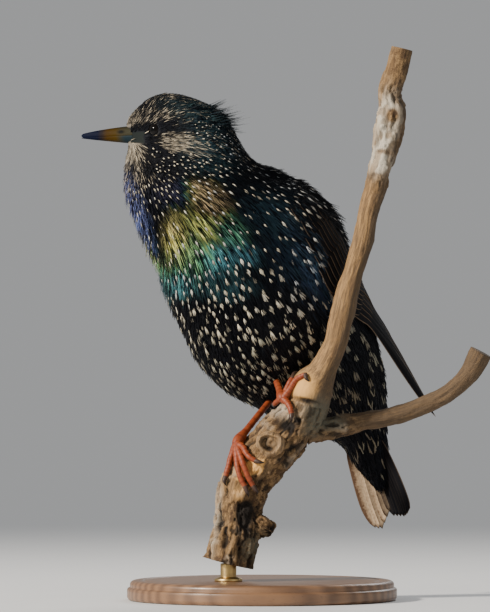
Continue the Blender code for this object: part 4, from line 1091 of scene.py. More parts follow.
@dataclass
class Coat:
    """The skin and all the contour feathers of head, neck and body."""

    trunk: Trunk
    marks: Markings
    dark: tuple = ("own", "sheen", "hue", "pale")
    pitch_rings: tuple = (0, 7, 9, 11, 13, 15, 17, 19, 20.5, 22, 26)
    pitches: tuple = (1.1, 1.2, 1.6, 1.9, 2.2, 2.9, 3.2, 3.3, 3.5, 3.6, 3.2)
    lengths: tuple = (3.4, 3.6, 5.6, 8.5, 10, 11, 12.5, 13, 13, 12, 8)
    tip_rings: tuple = (5, 9, 11, 13, 15, 17, 19, 21, 26)
    tip_talls: tuple = (0.75, 1.4, 2.2, 2.4, 2.6, 3.6, 3.7, 9.5, 9)
    tip_wides: tuple = (0.42, 0.56, 0.66, 0.8, 1.35, 1.8, 1.9, 3, 3)
    gap_rings: tuple = (5, 9, 11, 13.5, 15, 18, 20.2, 21)
    gaps: tuple = (0.95, 1.2, 2.1, 2.5, 2.5, 2.2, 2.4, 2.8)
    bald: tuple = marks((168, 196, 20, 16, 0, 0.85), (240, 300, 20, 18, 0, 0.5), (268, 228, 44, 34, 0, 0.5))
    eye_clear: float = 2.15
    chin_middle: tuple = (146, 148)

    def pitch(self, at: Array, belly: Array) -> Array:
        """Distance between feathers: by ring, wider on the flanks and closer on the back."""
        base = np.interp(at, self.pitch_rings, self.pitches)
        flank = hump(78, 42, np.abs(belly)) * (0.4 - 0.3 * ease(16.5, 18, at))
        back = 0.05 * ease(105, 140, np.abs(belly))
        return base * (1 + ease(13.5, 17, at) * (flank - back))

    def in_wing(self, at: Array, belly: Array) -> Array:
        """Degrees inside the folded wing's cover of the trunk, less than 0 outside it."""
        d = 180 - np.abs(belly)
        side = np.minimum(np.interp(at, WING_RINGS, WING_LOW) - d, d - np.interp(at, WING_RINGS, WING_HIGH))
        front = (at - WING_RINGS[0]) * 12
        rear = (WING_RINGS[-1] + 0.4 - at) * 14
        return np.minimum(np.minimum(side, front), rear)

    @staticmethod
    def gape(here: Array) -> Array:
        """Places on the bare horny corner of the mouth, behind the lower bill."""
        off = here - EYE_LEVEL
        ahead, up = off @ BILL_WAY, off @ UP
        return ((ahead > 5.6) & (ahead <= 12.8) & (up < -1 + 0.05 * (12.8 - ahead))
                & (up > -5.6 + 0.05 * ahead) & (np.abs(off @ HEAD_LEFT) > 2))

    def numbers(self, at: Array, turn: Array, draw: np.random.Generator) -> Numbers:
        """The numbers that feathers carry: own, sheen, hue and pale.

        Args:
            at: rings.
            turn: turns.
            draw: the random draw.

        Returns:
            The numbers by name.
        """
        x, y = self.trunk.twin(at, turn)
        sheen, hue = self.marks.gloss(x, y)
        across, down = x - self.chin_middle[0], y - self.chin_middle[1]
        round_chin = np.stack((np.arctan2(down, across) * 20.0, np.hypot(across, down) / 26.0, 0 * x), -1)
        own = draw.random(len(at))
        # rays: streaks round the chin that carry the painted highlights, with dark gaps between them.
        gap = 1.1 * Mark(190, 190, 24, 13, 20, 1).cover(x, y)
        rays = np.clip(5.6 * grain(round_chin, 1, 8) - 3.5 - gap, 0, 1)
        own = own + (0.2 * own + 0.8 * rays - own) * ease(0.2, 0.5, sheen)
        return {"own": own, "sheen": sheen, "hue": hue, "pale": np.zeros(len(at))}

    def build_skin(self) -> None:
        """One skin for all the frame's flesh: the trunk's points less the outward way times a depth."""
        trunk = self.trunk
        shape = (trunk.rings_along, trunk.sides)
        rings = np.linspace(0, trunk.last, trunk.rings_along)
        at, turn = (g.ravel() for g in np.meshgrid(rings, circle(trunk.sides), indexing="ij"))
        here, out, _, _ = trunk.surface(at, turn)
        depth = trunk.skin_depth * np.interp(at, [0, 6, 14, 22, 26], [0.7, 0.7, 1, 1, 0.5])
        here = here - out * depth[:, None]
        numbers = self.numbers(at, turn, np.random.default_rng(2))
        bare = self.gape(here).astype(float)
        pale = np.where(at < 10.5, self.marks.head_pale(*trunk.twin(at, turn)) * 0.45, 0.0)
        # The skin carries a weaker share of the painted highlights.
        numbers |= {"pale": pale * (1 - bare), "own": grain(here, 1.2, 5), "sheen": numbers["sheen"] * 0.4,
                    "bare": bare}
        across, down = np.linspace(0.01, 0.99, trunk.sides), rings / trunk.last * 0.96 + 0.02
        home = np.stack(np.meshgrid(across, down), -1)
        numbers = {k: v.reshape(shape) for k, v in numbers.items()}
        capped(here.reshape(*shape, 3), numbers, {"OFBake": home}).build(
            "skin", DarkPlumage("skin").make(), "plumage", "head", "neck", "breast", "belly", "vent",
            "undertail_coverts", "uppertail_coverts")

    def roots(self, start: float, end: float, scale: float, seed: int, length_scale: float = 1.0) -> Roots:
        """Feathers combed over the trunk between two rings.

        Args:
            start: the first ring.
            end: the last ring.
            scale: the pitch's share of the coat's own.
            seed: the random draw.
            length_scale: the length's share of the coat's own.

        Returns:
            The feathers, with their places in numbers of their own.
        """
        trunk = self.trunk
        draw = np.random.default_rng(seed)
        at, turn = trunk.scatter(start, end, lambda a, b: self.pitch(a, b) * scale, seed)
        belly = trunk.belly_turn(at, turn)
        spine = 180 - np.abs(belly)
        reach = (1 - ease(44, 58, spine)) * np.interp(at, [14, 15.8, 16.8, 17.6], [40, 34, 24, 4])
        keep = self.in_wing(at, belly) < 6 + reach
        at, turn, belly, spine = at[keep], turn[keep], belly[keep], spine[keep]
        length = np.interp(at, self.pitch_rings, self.lengths) * length_scale
        x, y = trunk.twin(at, turn)
        throat = ease(9, 11, at) * (1 - ease(14.5, 16.5, at)) * (1 - ease(70, 110, np.abs(belly)))
        scapular = (1 - ease(44, 58, spine)) * hump(15.2, 1.3, at) * ease(4, 12, spine)
        length = length * (1 + 0.25 * throat + 0.35 * scapular) * draw.uniform(0.88, 1.12, len(at))
        lines, outs, ways, rings, turns = trunk.comb(at, turn, length)
        turned = trunk.belly_turn(rings, turns)
        over = ease(-13, 5, self.in_wing(rings, turned))
        high = 1 - ease(44, 60, 180 - np.abs(turned))
        over = over * (1 - ease(16.4, 17.4, rings - 0.5 * high))
        stand = over * (np.interp(rings, [14.2, 15.2, 16.3, 17.4], [2.2, 3, 3.6, 3.8]) - 0.7 * high) - 0.45
        width = self.pitch(at, belly) * 1.35 * (1 - 0.38 * throat)
        lift = np.interp(at, [0, 6, 9, 12, 16, 20, 26], [0.35, 0.45, 0.9, 1.5, 1.2, 1.1, 0.7]) + 0.9 * throat
        lift = lift * draw.uniform(0.6, 1.4, len(at))
        lift = lift + 3 * scapular * hump(16.2, 0.8, rings[:, -1]) * draw.random(len(at))
        numbers = self.numbers(at, turn, draw) | {"at": at, "belly": belly, "x": x, "y": y}
        home = np.stack((turn / (2 * math.pi) % 1.0 * 0.98 + 0.01, at / trunk.last * 0.96 + 0.02), -1)
        made = Roots(lines + outs * stand[..., None], outs, ways, home, length, width, lift, numbers)
        off = lines[:, 0] - EYE_LEVEL
        ahead, left, up = off @ BILL_WAY, np.abs(off @ HEAD_LEFT), off @ UP
        bill = (ahead > 12.6) & (left < 3.9) & (up > -5.6) & (up < 2.1)
        eye = (ahead**2 + up**2 < self.eye_clear**2) & (left > 4)
        return made.pick(~(bill | eye | self.gape(lines[:, 0])))

    def build_down(self) -> None:
        """Fine dark strands under and between the feathers, over neck and body."""
        for number, stretch in enumerate(((8.5, 14.5, 0.62), (14.5, 19, 0.48), (19, 25.6, 0.46))):
            roots = self.roots(*stretch, 40 + number, 0.8).carrying(*self.dark)
            roots.width = roots.width * 0.8
            shell = roots.strands(Cut.hair(3, 0.5, 0.2), -0.1, 50 + number, 0.12, 0, per_strand=True)
            shell.build("coat_down_%d" % (number + 1), DarkPlumage().make(), "plumage")

    def build_head(self) -> None:
        """Small fine feathers of the head, pale or dark by the markings' share, and a rough nape."""
        roots = self.roots(0.05, 10, 0.52, 11)
        draw = np.random.default_rng(12)
        share = self.marks.head_pale(roots.numbers["x"], roots.numbers["y"])
        pale = (draw.random(len(share)) < share) * draw.uniform(0.2, 1.0, len(share)) ** 1.3
        roots.numbers["pale"] = np.clip(pale + share * 0.04, 0, 1)
        roots.width = 0.4 * np.interp(roots.numbers["at"], [0, 8, 10], [1, 1, 1.5])
        hair = Cut.hair(4, 0, 0.4)
        shell = roots.carrying(*self.dark).strands(hair, 0.12, 13, 0.05, 0, per_strand=True)
        crest = self.roots(2.4, 9, 0.8, 14, 1.7)
        x, y = crest.numbers["x"], crest.numbers["y"]
        nape = Mark(181, 104, 14, 8, 20, 1).cover(x, y) + Mark(214, 114, 14, 10, 35, 1).cover(x, y)
        keep = (draw.random(len(x)) < nape * 0.8) & (np.abs(crest.numbers["belly"]) > 120)
        crest.lift, crest.width = 1.0 + 9.0 * nape * draw.uniform(0.2, 1.2, len(x)), np.full(len(x), 1.4)
        spikes = crest.carrying(*self.dark).pick(keep).strands(Cut.whole(2, True, 0.2), 0.1, 15, 0.04, 0.1)
        Shell.join([shell, spikes]).build("coat_head", DarkPlumage().make(), "plumage")

    def build_body(self) -> None:
        """Contour feathers from the throat to the tail coverts, with their pale tips."""
        tips: list[Shell] = []
        for number, ends in enumerate(((4.6, 12.4), (12.4, 15.2), (15.2, 18), (18, 21), (21, 25.4))):
            roots = self.roots(*ends, 1, 20 + number)
            at, x = roots.numbers["at"], roots.numbers["x"]
            share = self.marks.head_pale(x, roots.numbers["y"])
            roots = roots.pick((at >= 9.6) | (share < 0.12) & (at > 7.8) | (share < 0.27) & (x > 186))
            cut = Cut.whole(3, True, 0.13) if number < 2 else Cut.whole(7, False, 0.075)
            roots.carrying(*self.dark).strands(cut, 0.15, 30 + number, 0.03, 0.1).build(
                "coat_feathers_%d" % (number + 1), DarkPlumage().make(), "plumage")
            tips += self.tips(roots, number)
        Shell.join(tips).build("coat_pale_tips", PaleTips().make(), "plumage")

    def tips(self, roots: Roots, number: int) -> list[Shell]:
        """Pale tips on feathers: streaks on throat and neck, wedges on breast and belly.

        Args:
            roots: the feathers.
            number: their stretch of the coat.

        Returns:
            The tips.
        """
        draw = np.random.default_rng(60 + number)
        at, x, y, belly = (roots.numbers[k] for k in ("at", "x", "y", "belly"))
        belly = np.abs(belly)
        back, waist = ease(112, 150, belly), hump(19.3, 1, at)
        chance = 0.96 - 0.3 * back
        for thin in self.bald:
            chance = chance * (1 - thin.value * thin.cover(x, y))
        chance = chance * np.where(at < 10.2, 0.85, 1) * (1 - 0.5 * waist) * (0.5 + 0.5 * ease(8.2, 9.4, at))
        has = draw.random(len(at)) < chance * 1.15
        flank = hump(84, 38, belly) * ease(14, 16, at) * (1 - ease(19, 21, at))
        gap = np.interp(at, self.gap_rings, self.gaps) + 0.5 * flank + 0.9 * hump(19.3, 0.9, at)
        ends = roots.lines[has, -1]  # a tip goes where an earlier one is nearer than its gap
        size = np.sum(ends**2, 1)
        near = size[:, None] + size[None] - 2 * ends @ ends.T < (gap[has] ** 2)[:, None]
        has[has] = ~np.any(np.tril(near, -1), 1)
        size = draw.uniform(0.65, 1.25, len(at)) * (1 - 0.2 * back)
        tall = np.interp(at, self.tip_rings, self.tip_talls) * (1 + 0.4 * flank) * size
        wide = np.interp(at, self.tip_rings, self.tip_wides) * (1 + 0.55 * flank) * size
        warm = 0.52 + 0.3 * ease(15, 17.6, at) + 0.14 * ease(19, 20, at) - 0.34 * back
        warm = warm - 0.42 * Mark(305, 255, 36, 50, 20, 1).cover(x, y)
        warm = warm - 0.26 * roots.numbers["sheen"] * (at < 15.5)
        roots.numbers["warm"] = np.clip(warm + draw.normal(0, 0.05, len(at)), 0, 1)
        edged = has & (at > 20.2)
        wedge = has & ~edged & (draw.random(len(at)) < ease(13.8, 16.2, at))
        shells = []
        for mask, cut in ((wedge, Cut.wedge()), (has & ~wedge & ~edged, Cut.drop()), (edged, Cut.fringe())):
            if mask.any():
                some = replace(roots.carrying("own", "warm"), width=wide, zoom=tall / roots.length).pick(mask)
                shells.append(some.strands(cut, 0.34, 70 + number, 0.05, 0.06, 0.05))
        return shells


# --- wings and tail ---
@dataclass
class VaneSet:
    """A sheaf of broad feathers, each a thin closed blade."""

    rows: int = 15
    columns: int = 9
    thick: float = 0.16
    shells: list = field(default_factory=list)
    cells: int = 9

    def blade(self, line: Array, across: Array, out: Array, width: float, blunt: float,
              numbers: dict[str, float]) -> None:
        """Adds one feather.

        Its half width grows from a narrow root, holds, and closes to a rounded tip; its face is
        cambered by the square of the distance from the shaft.

        Args:
            line: the shaft's places.
            across: ways to its right side.
            out: outward ways.
            width: its widest width.
            blunt: 0 for a pointed tip, 1 for a square one.
            numbers: own, edge and lit.
        """
        t = np.linspace(0, 1, self.rows)
        marks = np.linspace(0, 1, len(line))
        middle, side, up = (read_curve(marks, f, t)[:, None] for f in (line, across, out))
        side, up = unit(side), unit(up)
        tip = 0.4 + 0.5 * blunt
        past = np.clip(t - tip, 0, 1) / (1 - tip)
        close = np.clip(1 - past ** (1.6 + blunt), 0, 1) ** (0.75 - 0.25 * blunt)
        half = np.maximum(0.5 * width * (0.45 + 0.55 * ease(0, 0.3, t)) * close, 0.05)[:, None]
        c = np.linspace(-1, 1, self.columns)[None]
        rib = 0.1 * hump(0, 0.16, c) * (1 - 0.7 * t[:, None])
        rim = self.thick / 2 * (1 - 0.75 * np.abs(c) ** 3) + rib
        top, low = (middle + side * (c * half)[..., None] + up * (sign * rim - 0.16 * half * c**2)[..., None]
                    for sign in (1, -1))
        shape = (self.rows, self.columns * 2)
        flat = {k: np.full(shape, v) for k, v in numbers.items()}
        flat = {"side": np.concatenate((c, c[:, ::-1]), 1) * np.ones((self.rows, 1)),
                "run": np.repeat(t[:, None], shape[1], 1)} | flat
        spot, cell = len(self.shells), 1 / self.cells
        u = np.concatenate((np.linspace(0.04, 0.46, self.columns), np.linspace(0.54, 0.96, self.columns)))
        maps = np.stack(np.meshgrid(cell * (spot % self.cells + u),
                                    cell * (spot // self.cells % self.cells + 0.04 + 0.92 * t)), -1)
        self.shells.append(capped(np.concatenate((top, low[:, ::-1]), 1), flat, {"OFBake": maps}))


@dataclass
class Wing:
    """A folded wing: rows of coverts, tertials and flight feathers lying like shingles."""

    trunk: Trunk
    sign: float
    long_steps: int = 80
    cross_steps: int = 20
    marks: tuple = (0, 0.12, 0.26, 0.42, 0.56, 0.7, 1)
    rises: tuple = ((0.4, 1.4, 2.2, 2.2, 2.2, 2.2), (0.3, 1.1, 1.9, 2.1, 2.2, 2.2), (0, 0.4, 1, 1.5, 2, 2.2))

    def __post_init__(self) -> None:
        """Works out the wing's surface: a curve of the second degree through three edges across it."""
        s = self.sign
        self.draw = np.random.default_rng(80 if s > 0 else 81)
        self.sheaf = VaneSet()
        tip_left, tip_back = (10, 28) if s > 0 else (-10.5, 23)
        tip = self.trunk.rows[VENT, :3] + FORWARD * (-0.72 * tip_back) + DORSAL * tip_back + LEFT * tip_left
        inner = tip - LEFT * s * 3 + DORSAL * 0.5 + FORWARD * 4
        lanes = ((0, WING_LOW, tip), (0, (WING_LOW + WING_HIGH) / 2, (tip + inner) / 2),
                 (0.25, WING_HIGH, inner))
        at = np.linspace(0, 1, self.long_steps + 1)
        low, middle, high = (
            read_curve(self.marks, np.concatenate((self.on_body(WING_RINGS + off, s * turn, np.array(rise)),
                                                   end[None])), at)[:, None]
            for (off, turn, end), rise in zip(lanes, self.rises))
        v = np.linspace(0, 1, self.cross_steps + 1)[None, :, None]
        self.grid = low * (2 * (v - 0.5) * (v - 1)) + middle * (4 * v * (1 - v)) + high * (2 * v * (v - 0.5))
        self.breadth = np.sum(np.linalg.norm(np.diff(self.grid, axis=1), axis=2), 1)
        out = unit(np.cross(np.gradient(self.grid, axis=0), np.gradient(self.grid, axis=1)))
        self.out = out if np.sum(out[20, 10] * LEFT * s) > 0 else -out

    def on_body(self, rings: Array, degrees: Array, rise: Array) -> Array:
        """Places over the trunk, by ring, degrees from the back's middle to the left, and rise."""
        row = read_curve(self.trunk.marks, self.trunk.rows, rings)
        angle = (DORSAL_TURN - np.radians(degrees))[:, None]
        way = np.cos(angle) * row[:, 3:6] + np.sin(angle) * row[:, 6:9]
        return row[:, :3] + way * (1 + rise[:, None] / np.linalg.norm(way, axis=1, keepdims=True))

    def width(self, share: Any) -> Array:
        """The wing's breadth at a share of its length."""
        return np.interp(share, np.linspace(0, 1, len(self.breadth)), self.breadth)

    def lay(self, distance: float, start: float, end: float, width: float, tilt: float, lift: float,
            edge: float, blunt: float) -> None:
        """Adds one feather that lies in its lane, tilted over the next one.

        Args:
            distance: from the lower edge.
            start: its root, as a share of the wing's length.
            end: its tip.
            width: its width.
            tilt: its tilt across, in degrees.
            lift: its height at the tip.
            edge: how clear its pale edge is.
            blunt: how square its tip is.
        """
        t = np.linspace(0, 1, 9)
        shares = start + (end - start) * t
        close = np.minimum(self.width(shares) / self.width(0.6), 1)
        v = distance * np.where(shares > 0.6, close, 1.0) / self.width(shares)
        v, u = np.clip(v, -0.1, 1.15) * self.cross_steps, np.clip(shares, 0, 1) * self.long_steps
        i = np.clip(u.astype(int), 0, self.long_steps - 1)
        j = np.clip(np.floor(v).astype(int), 0, self.cross_steps - 1)
        fu, fv = (u - i)[:, None], (v - j)[:, None]
        place, out = ((f[i, j] * (1 - fu) + f[i + 1, j] * fu) * (1 - fv)
                      + (f[i, j + 1] * (1 - fu) + f[i + 1, j + 1] * fu) * fv for f in (self.grid, self.out))
        out = unit(out)
        place = place + out * (lift * np.clip(0.15 + 2.2 * t, 0, 1))[:, None]
        way = unit(np.gradient(place, axis=0))
        free = (ease(0.62, 0.86, shares) * 0.85)[:, None]
        out = unit(out * (1 - free) + LEFT * self.sign * free)
        a = math.radians(tilt)
        across = unit(unit(np.cross(out, way)) * self.sign * math.cos(a) + out * math.sin(a))
        out = unit(np.cross(way, across)) * self.sign
        self.sheaf.blade(place, across, out, width, blunt,
                         {"own": float(self.draw.random()), "edge": edge, "lit": 0.0})

    def build(self, side: str) -> None:
        """Builds the feathers of a side, from the longest primaries up to the smallest coverts."""
        for k in range(9):
            self.lay(1.3 + 3.1 * k, 0.5, 0.995 - 0.012 * k - 0.0052 * k**2, 5.2 - 0.12 * k, -12,
                     0.1 + 0.1 * k, 0.6 if k else 0.9, 0.55)
        for inward, end, width in ((0.5, 0.83, 7), (0.62, 0.79, 7.4), (0.76, 0.74, 7.4), (0.9, 0.69, 7)):
            self.lay(float(self.width(0.55)) * inward, 0.44, end, width, -8, 1.0, 0.8, 0.35)
        for k in range(9):
            self.lay(1.6 + k * 2.75, 0.36 - 0.004 * k, 0.585 - 0.007 * k, 4.3, -14, 1.15, 0.85, 0.6)
        for k in range(9):
            self.lay(1.4 + k * 2.7, 0.24 - 0.004 * k, 0.415 - 0.006 * k, 4.2, -14, 1.4, 0.75, 0.6)
        for row, (start, end) in enumerate(((0.135, 0.285), (0.05, 0.19), (0, 0.11))):
            for k in range(8 - row):
                self.lay(2 + (k + 0.5 * (row % 2)) * 2.7, start, end, 3.9, -12, 1.6 + 0.12 * row, 0.6, 0.6)
        Shell.join(self.sheaf.shells).build("wing_%s_feathers" % side, FlightFeather().make(),
                                            "flight_feathers", "wing_" + side)


@dataclass
class Tail:
    """Twelve tail feathers in two lobes with a notch between."""

    trunk: Trunk
    feathers: int = 12
    width: float = 5.8
    notch: float = 0.64
    # lits: how much painted sunlight each feather of the left lobe carries.
    lits: tuple = (0.75, 1, 0.5, 0.9, 0.35, 0.2)

    def build(self) -> None:
        """Builds the tail: feathers fanned from the root, the outer ones lying lower."""
        way, left, out = self.trunk.tail_way, self.trunk.tail_left, self.trunk.tail_out
        draw = np.random.default_rng(90)
        sheaf = VaneSet(rows=20, columns=11, thick=0.2, cells=4)
        middle = (self.feathers - 1) / 2
        t = np.linspace(0, 1, 7)[:, None]
        for count in sorted(range(self.feathers), key=lambda k: -abs(k - middle)):
            c = (count - middle) / middle
            inside, past = max(self.notch - abs(c), 0), max(abs(c) - self.notch, 0)
            lean, near, far, shorter, blunt = (1, 1.4, 3.4, 2.4, 0.9) if c > 0 else (-1, 7, 5, 0, 0.6)
            length = TAIL_LENGTH + 7.0 - near * inside / self.notch - far * past**1.3 - shorter
            fan = c * (5.4 + 6.6 * t - 2.2 * t**4) - lean * (0.3 + 3.0 * past) * t**2
            line = self.trunk.tail_root + way * (length * t) + left * fan + out * abs(c) * (TAIL_ROOF - 0.1)
            across = unit(left + out * 0.3 * lean)
            up = unit(np.cross(across, way))
            up = -up if np.sum(up * out) < 0 else up
            # The left lobe's feathers are painted as sunlit.
            lit = c < 0
            sheaf.blade(line, np.repeat(across[None], 7, 0), np.repeat(up[None], 7, 0), self.width, blunt,
                        {"own": float(draw.random()), "edge": 0.9 if lit else 0.4,
                         "lit": self.lits[count] if lit else 0})
        Shell.join(sheaf.shells).build("tail_feathers", FlightFeather().make(), "flight_feathers", "tail")


# --- bill and eyes ---
@dataclass
class Head:
    """The hard and wet parts of the head: bill, eyes and lids."""

    gap: float = 0.3
    bill_rings: int = 64
    bill_sides: int = 40

    @staticmethod
    def spot(ahead: Any, left: Any, up: Any) -> Array:
        """Places in the head's own frame, from the midline at eye level."""
        ahead, left, up = (np.asarray(v, float)[..., None] for v in (ahead, left, up))
        return EYE_LEVEL + BILL_WAY * ahead + HEAD_LEFT * left + UP * up

    def build_bill(self, name: str) -> None:
        """One half of the bill, which name gives.

        Its width is the distance from the tip to the power 1.15, its ridge falls in a soft curve
        to the mouth's line, and its section is a rounded wedge.
        """
        upper = name == "bill_upper"
        share = np.linspace(0, 1, self.bill_rings)[:, None]
        ahead = BILL_ROOT + (BILL_LENGTH - BILL_ROOT) * share
        taper = 1 - share
        half = 0.42 + 3.4 * taper**1.15
        ridge = -0.2 + 2.2 * taper**0.8 - 1.1 * share**2
        line = -2 - 0.6 * share
        keel = -2.4 - 3.0 * taper**0.9 - 0.55 * share
        angle = circle(self.bill_sides)[None]
        across, rise = np.cos(angle), np.sin(angle)
        if upper:
            low, high = line + self.gap / 4, np.maximum(ridge, line + 0.8)
            up = low + np.where(rise < 0, rise * 0.1, np.abs(rise) ** 0.85) * (high - low)
        else:
            low, high = keel, line - self.gap / 4
            up = high + np.where(rise > 0, rise * 0.05, -np.abs(rise) ** 0.85) * (high - low)
        slot = upper * hump(17.4, 1.5, ahead) * hump(-0.6, 0.65, up) * (rise > -0.2)
        close = 0.25 + 0.75 * np.clip(taper / 0.035, 0, 1) ** 0.5
        left = np.sign(across) * np.abs(across) ** 0.9 * half * (1 - 0.2 * slot) * close
        middle = (low + high) / 2
        grid = self.spot(ahead, left, middle + (up - middle) * close)
        flat = np.ones(up.shape)
        numbers = {"run": (ahead - 6) / (BILL_LENGTH - 6) * flat,
                   "ridge": np.clip(upper * rise * flat, 0, 1) ** 5 + 1.6 * slot,
                   "under": flat * (0.15 if upper else 1)}
        capped(grid, numbers).build(name + "_horn", BillHorn().make(), "bill", name)

    def gaze(self, sign: float) -> tuple[Array, ...]:
        """An eye's middle, the way that it looks, and two ways square to that; 1 is the left eye."""
        look = unit(HEAD_LEFT * sign + BILL_WAY * 0.22)
        first = unit(np.cross(look, UP))
        return self.spot(0, sign * EYE_SIDE, 0), look, first, np.cross(first, look)

    def build_eye(self, side: str, sign: float) -> None:
        """A globe whose pole is the pupil: rings of cos tilt round the way that the eye looks."""
        centre, look, first, second = self.gaze(sign)
        tilt = np.linspace(0.02, math.pi - 0.02, 40)[:, None]
        ways = np.sin(tilt)[..., None] * spokes(circle(48), first[None], second[None])
        grid = centre + EYE_RADIUS * (ways + np.cos(tilt)[..., None] * look)
        pupil = np.where(np.cos(tilt) > 0, np.sin(tilt) * EYE_RADIUS / IRIS_RADIUS, 1.5) * np.ones((1, 48))
        capped(grid, {"pupil": pupil}).build("eyeball_" + side, BirdEye().make(), "eye", "eye_" + side)

    def build_lid(self, side: str, sign: float) -> None:
        """The bare dark rim of the lids: a fine beaded ring round the open eye."""
        centre, look, first, second = self.gaze(sign)
        turn, round_ = circle(96)[:, None, None], circle(12)[None, :, None]
        spoke = np.cos(turn) * first + np.sin(turn) * second * 0.86
        bead = 0.24 + 0.04 * np.sin(turn * 26)
        grid = (centre + look * 2.15 + spoke * 2.32 + unit(spoke) * np.cos(round_) * bead
                + look * np.sin(round_) * bead)
        Shell(grid.reshape(-1, 3), net(97, 12, True) % (96 * 12)).outward().build(
            "lid_" + side, LidSkin().make(), "plumage")


# --- the perch ---
@dataclass
class Branch:
    """The branch's middle line and the places on its bark."""

    steps: int = 400

    def __post_init__(self) -> None:
        """Reads the smooth curve that all of it follows."""
        self.curve = along(BRANCH, self.steps + 1)

    def frame_at(self, share: Array) -> tuple[Array, ...]:
        """Middle, radius, the side facing the viewer and the upper left side, by share."""
        spot = np.clip(share, 0, 1) * self.steps
        low = np.minimum(spot.astype(int), self.steps - 1)
        row = self.curve[low] * (1 - (spot - low))[:, None] + self.curve[low + 1] * (spot - low)[:, None]
        way = unit(self.curve[np.minimum(low + 4, self.steps), :3] - self.curve[np.maximum(low - 3, 0), :3])
        front = unit(VIEWER - way * (way @ VIEWER)[:, None])
        return row[:, :3], row[:, 3], front, np.cross(front, way)

    def on(self, share: float, degrees: float, out: float) -> Array:
        """A place out from the bark, degrees round from the viewer's side to the upper left."""
        middle, radius, front, side = (f[0] for f in self.frame_at(np.array([share])))
        a = math.radians(degrees)
        return middle + (radius * 1.05 + out) * (math.cos(a) * front + math.sin(a) * side)


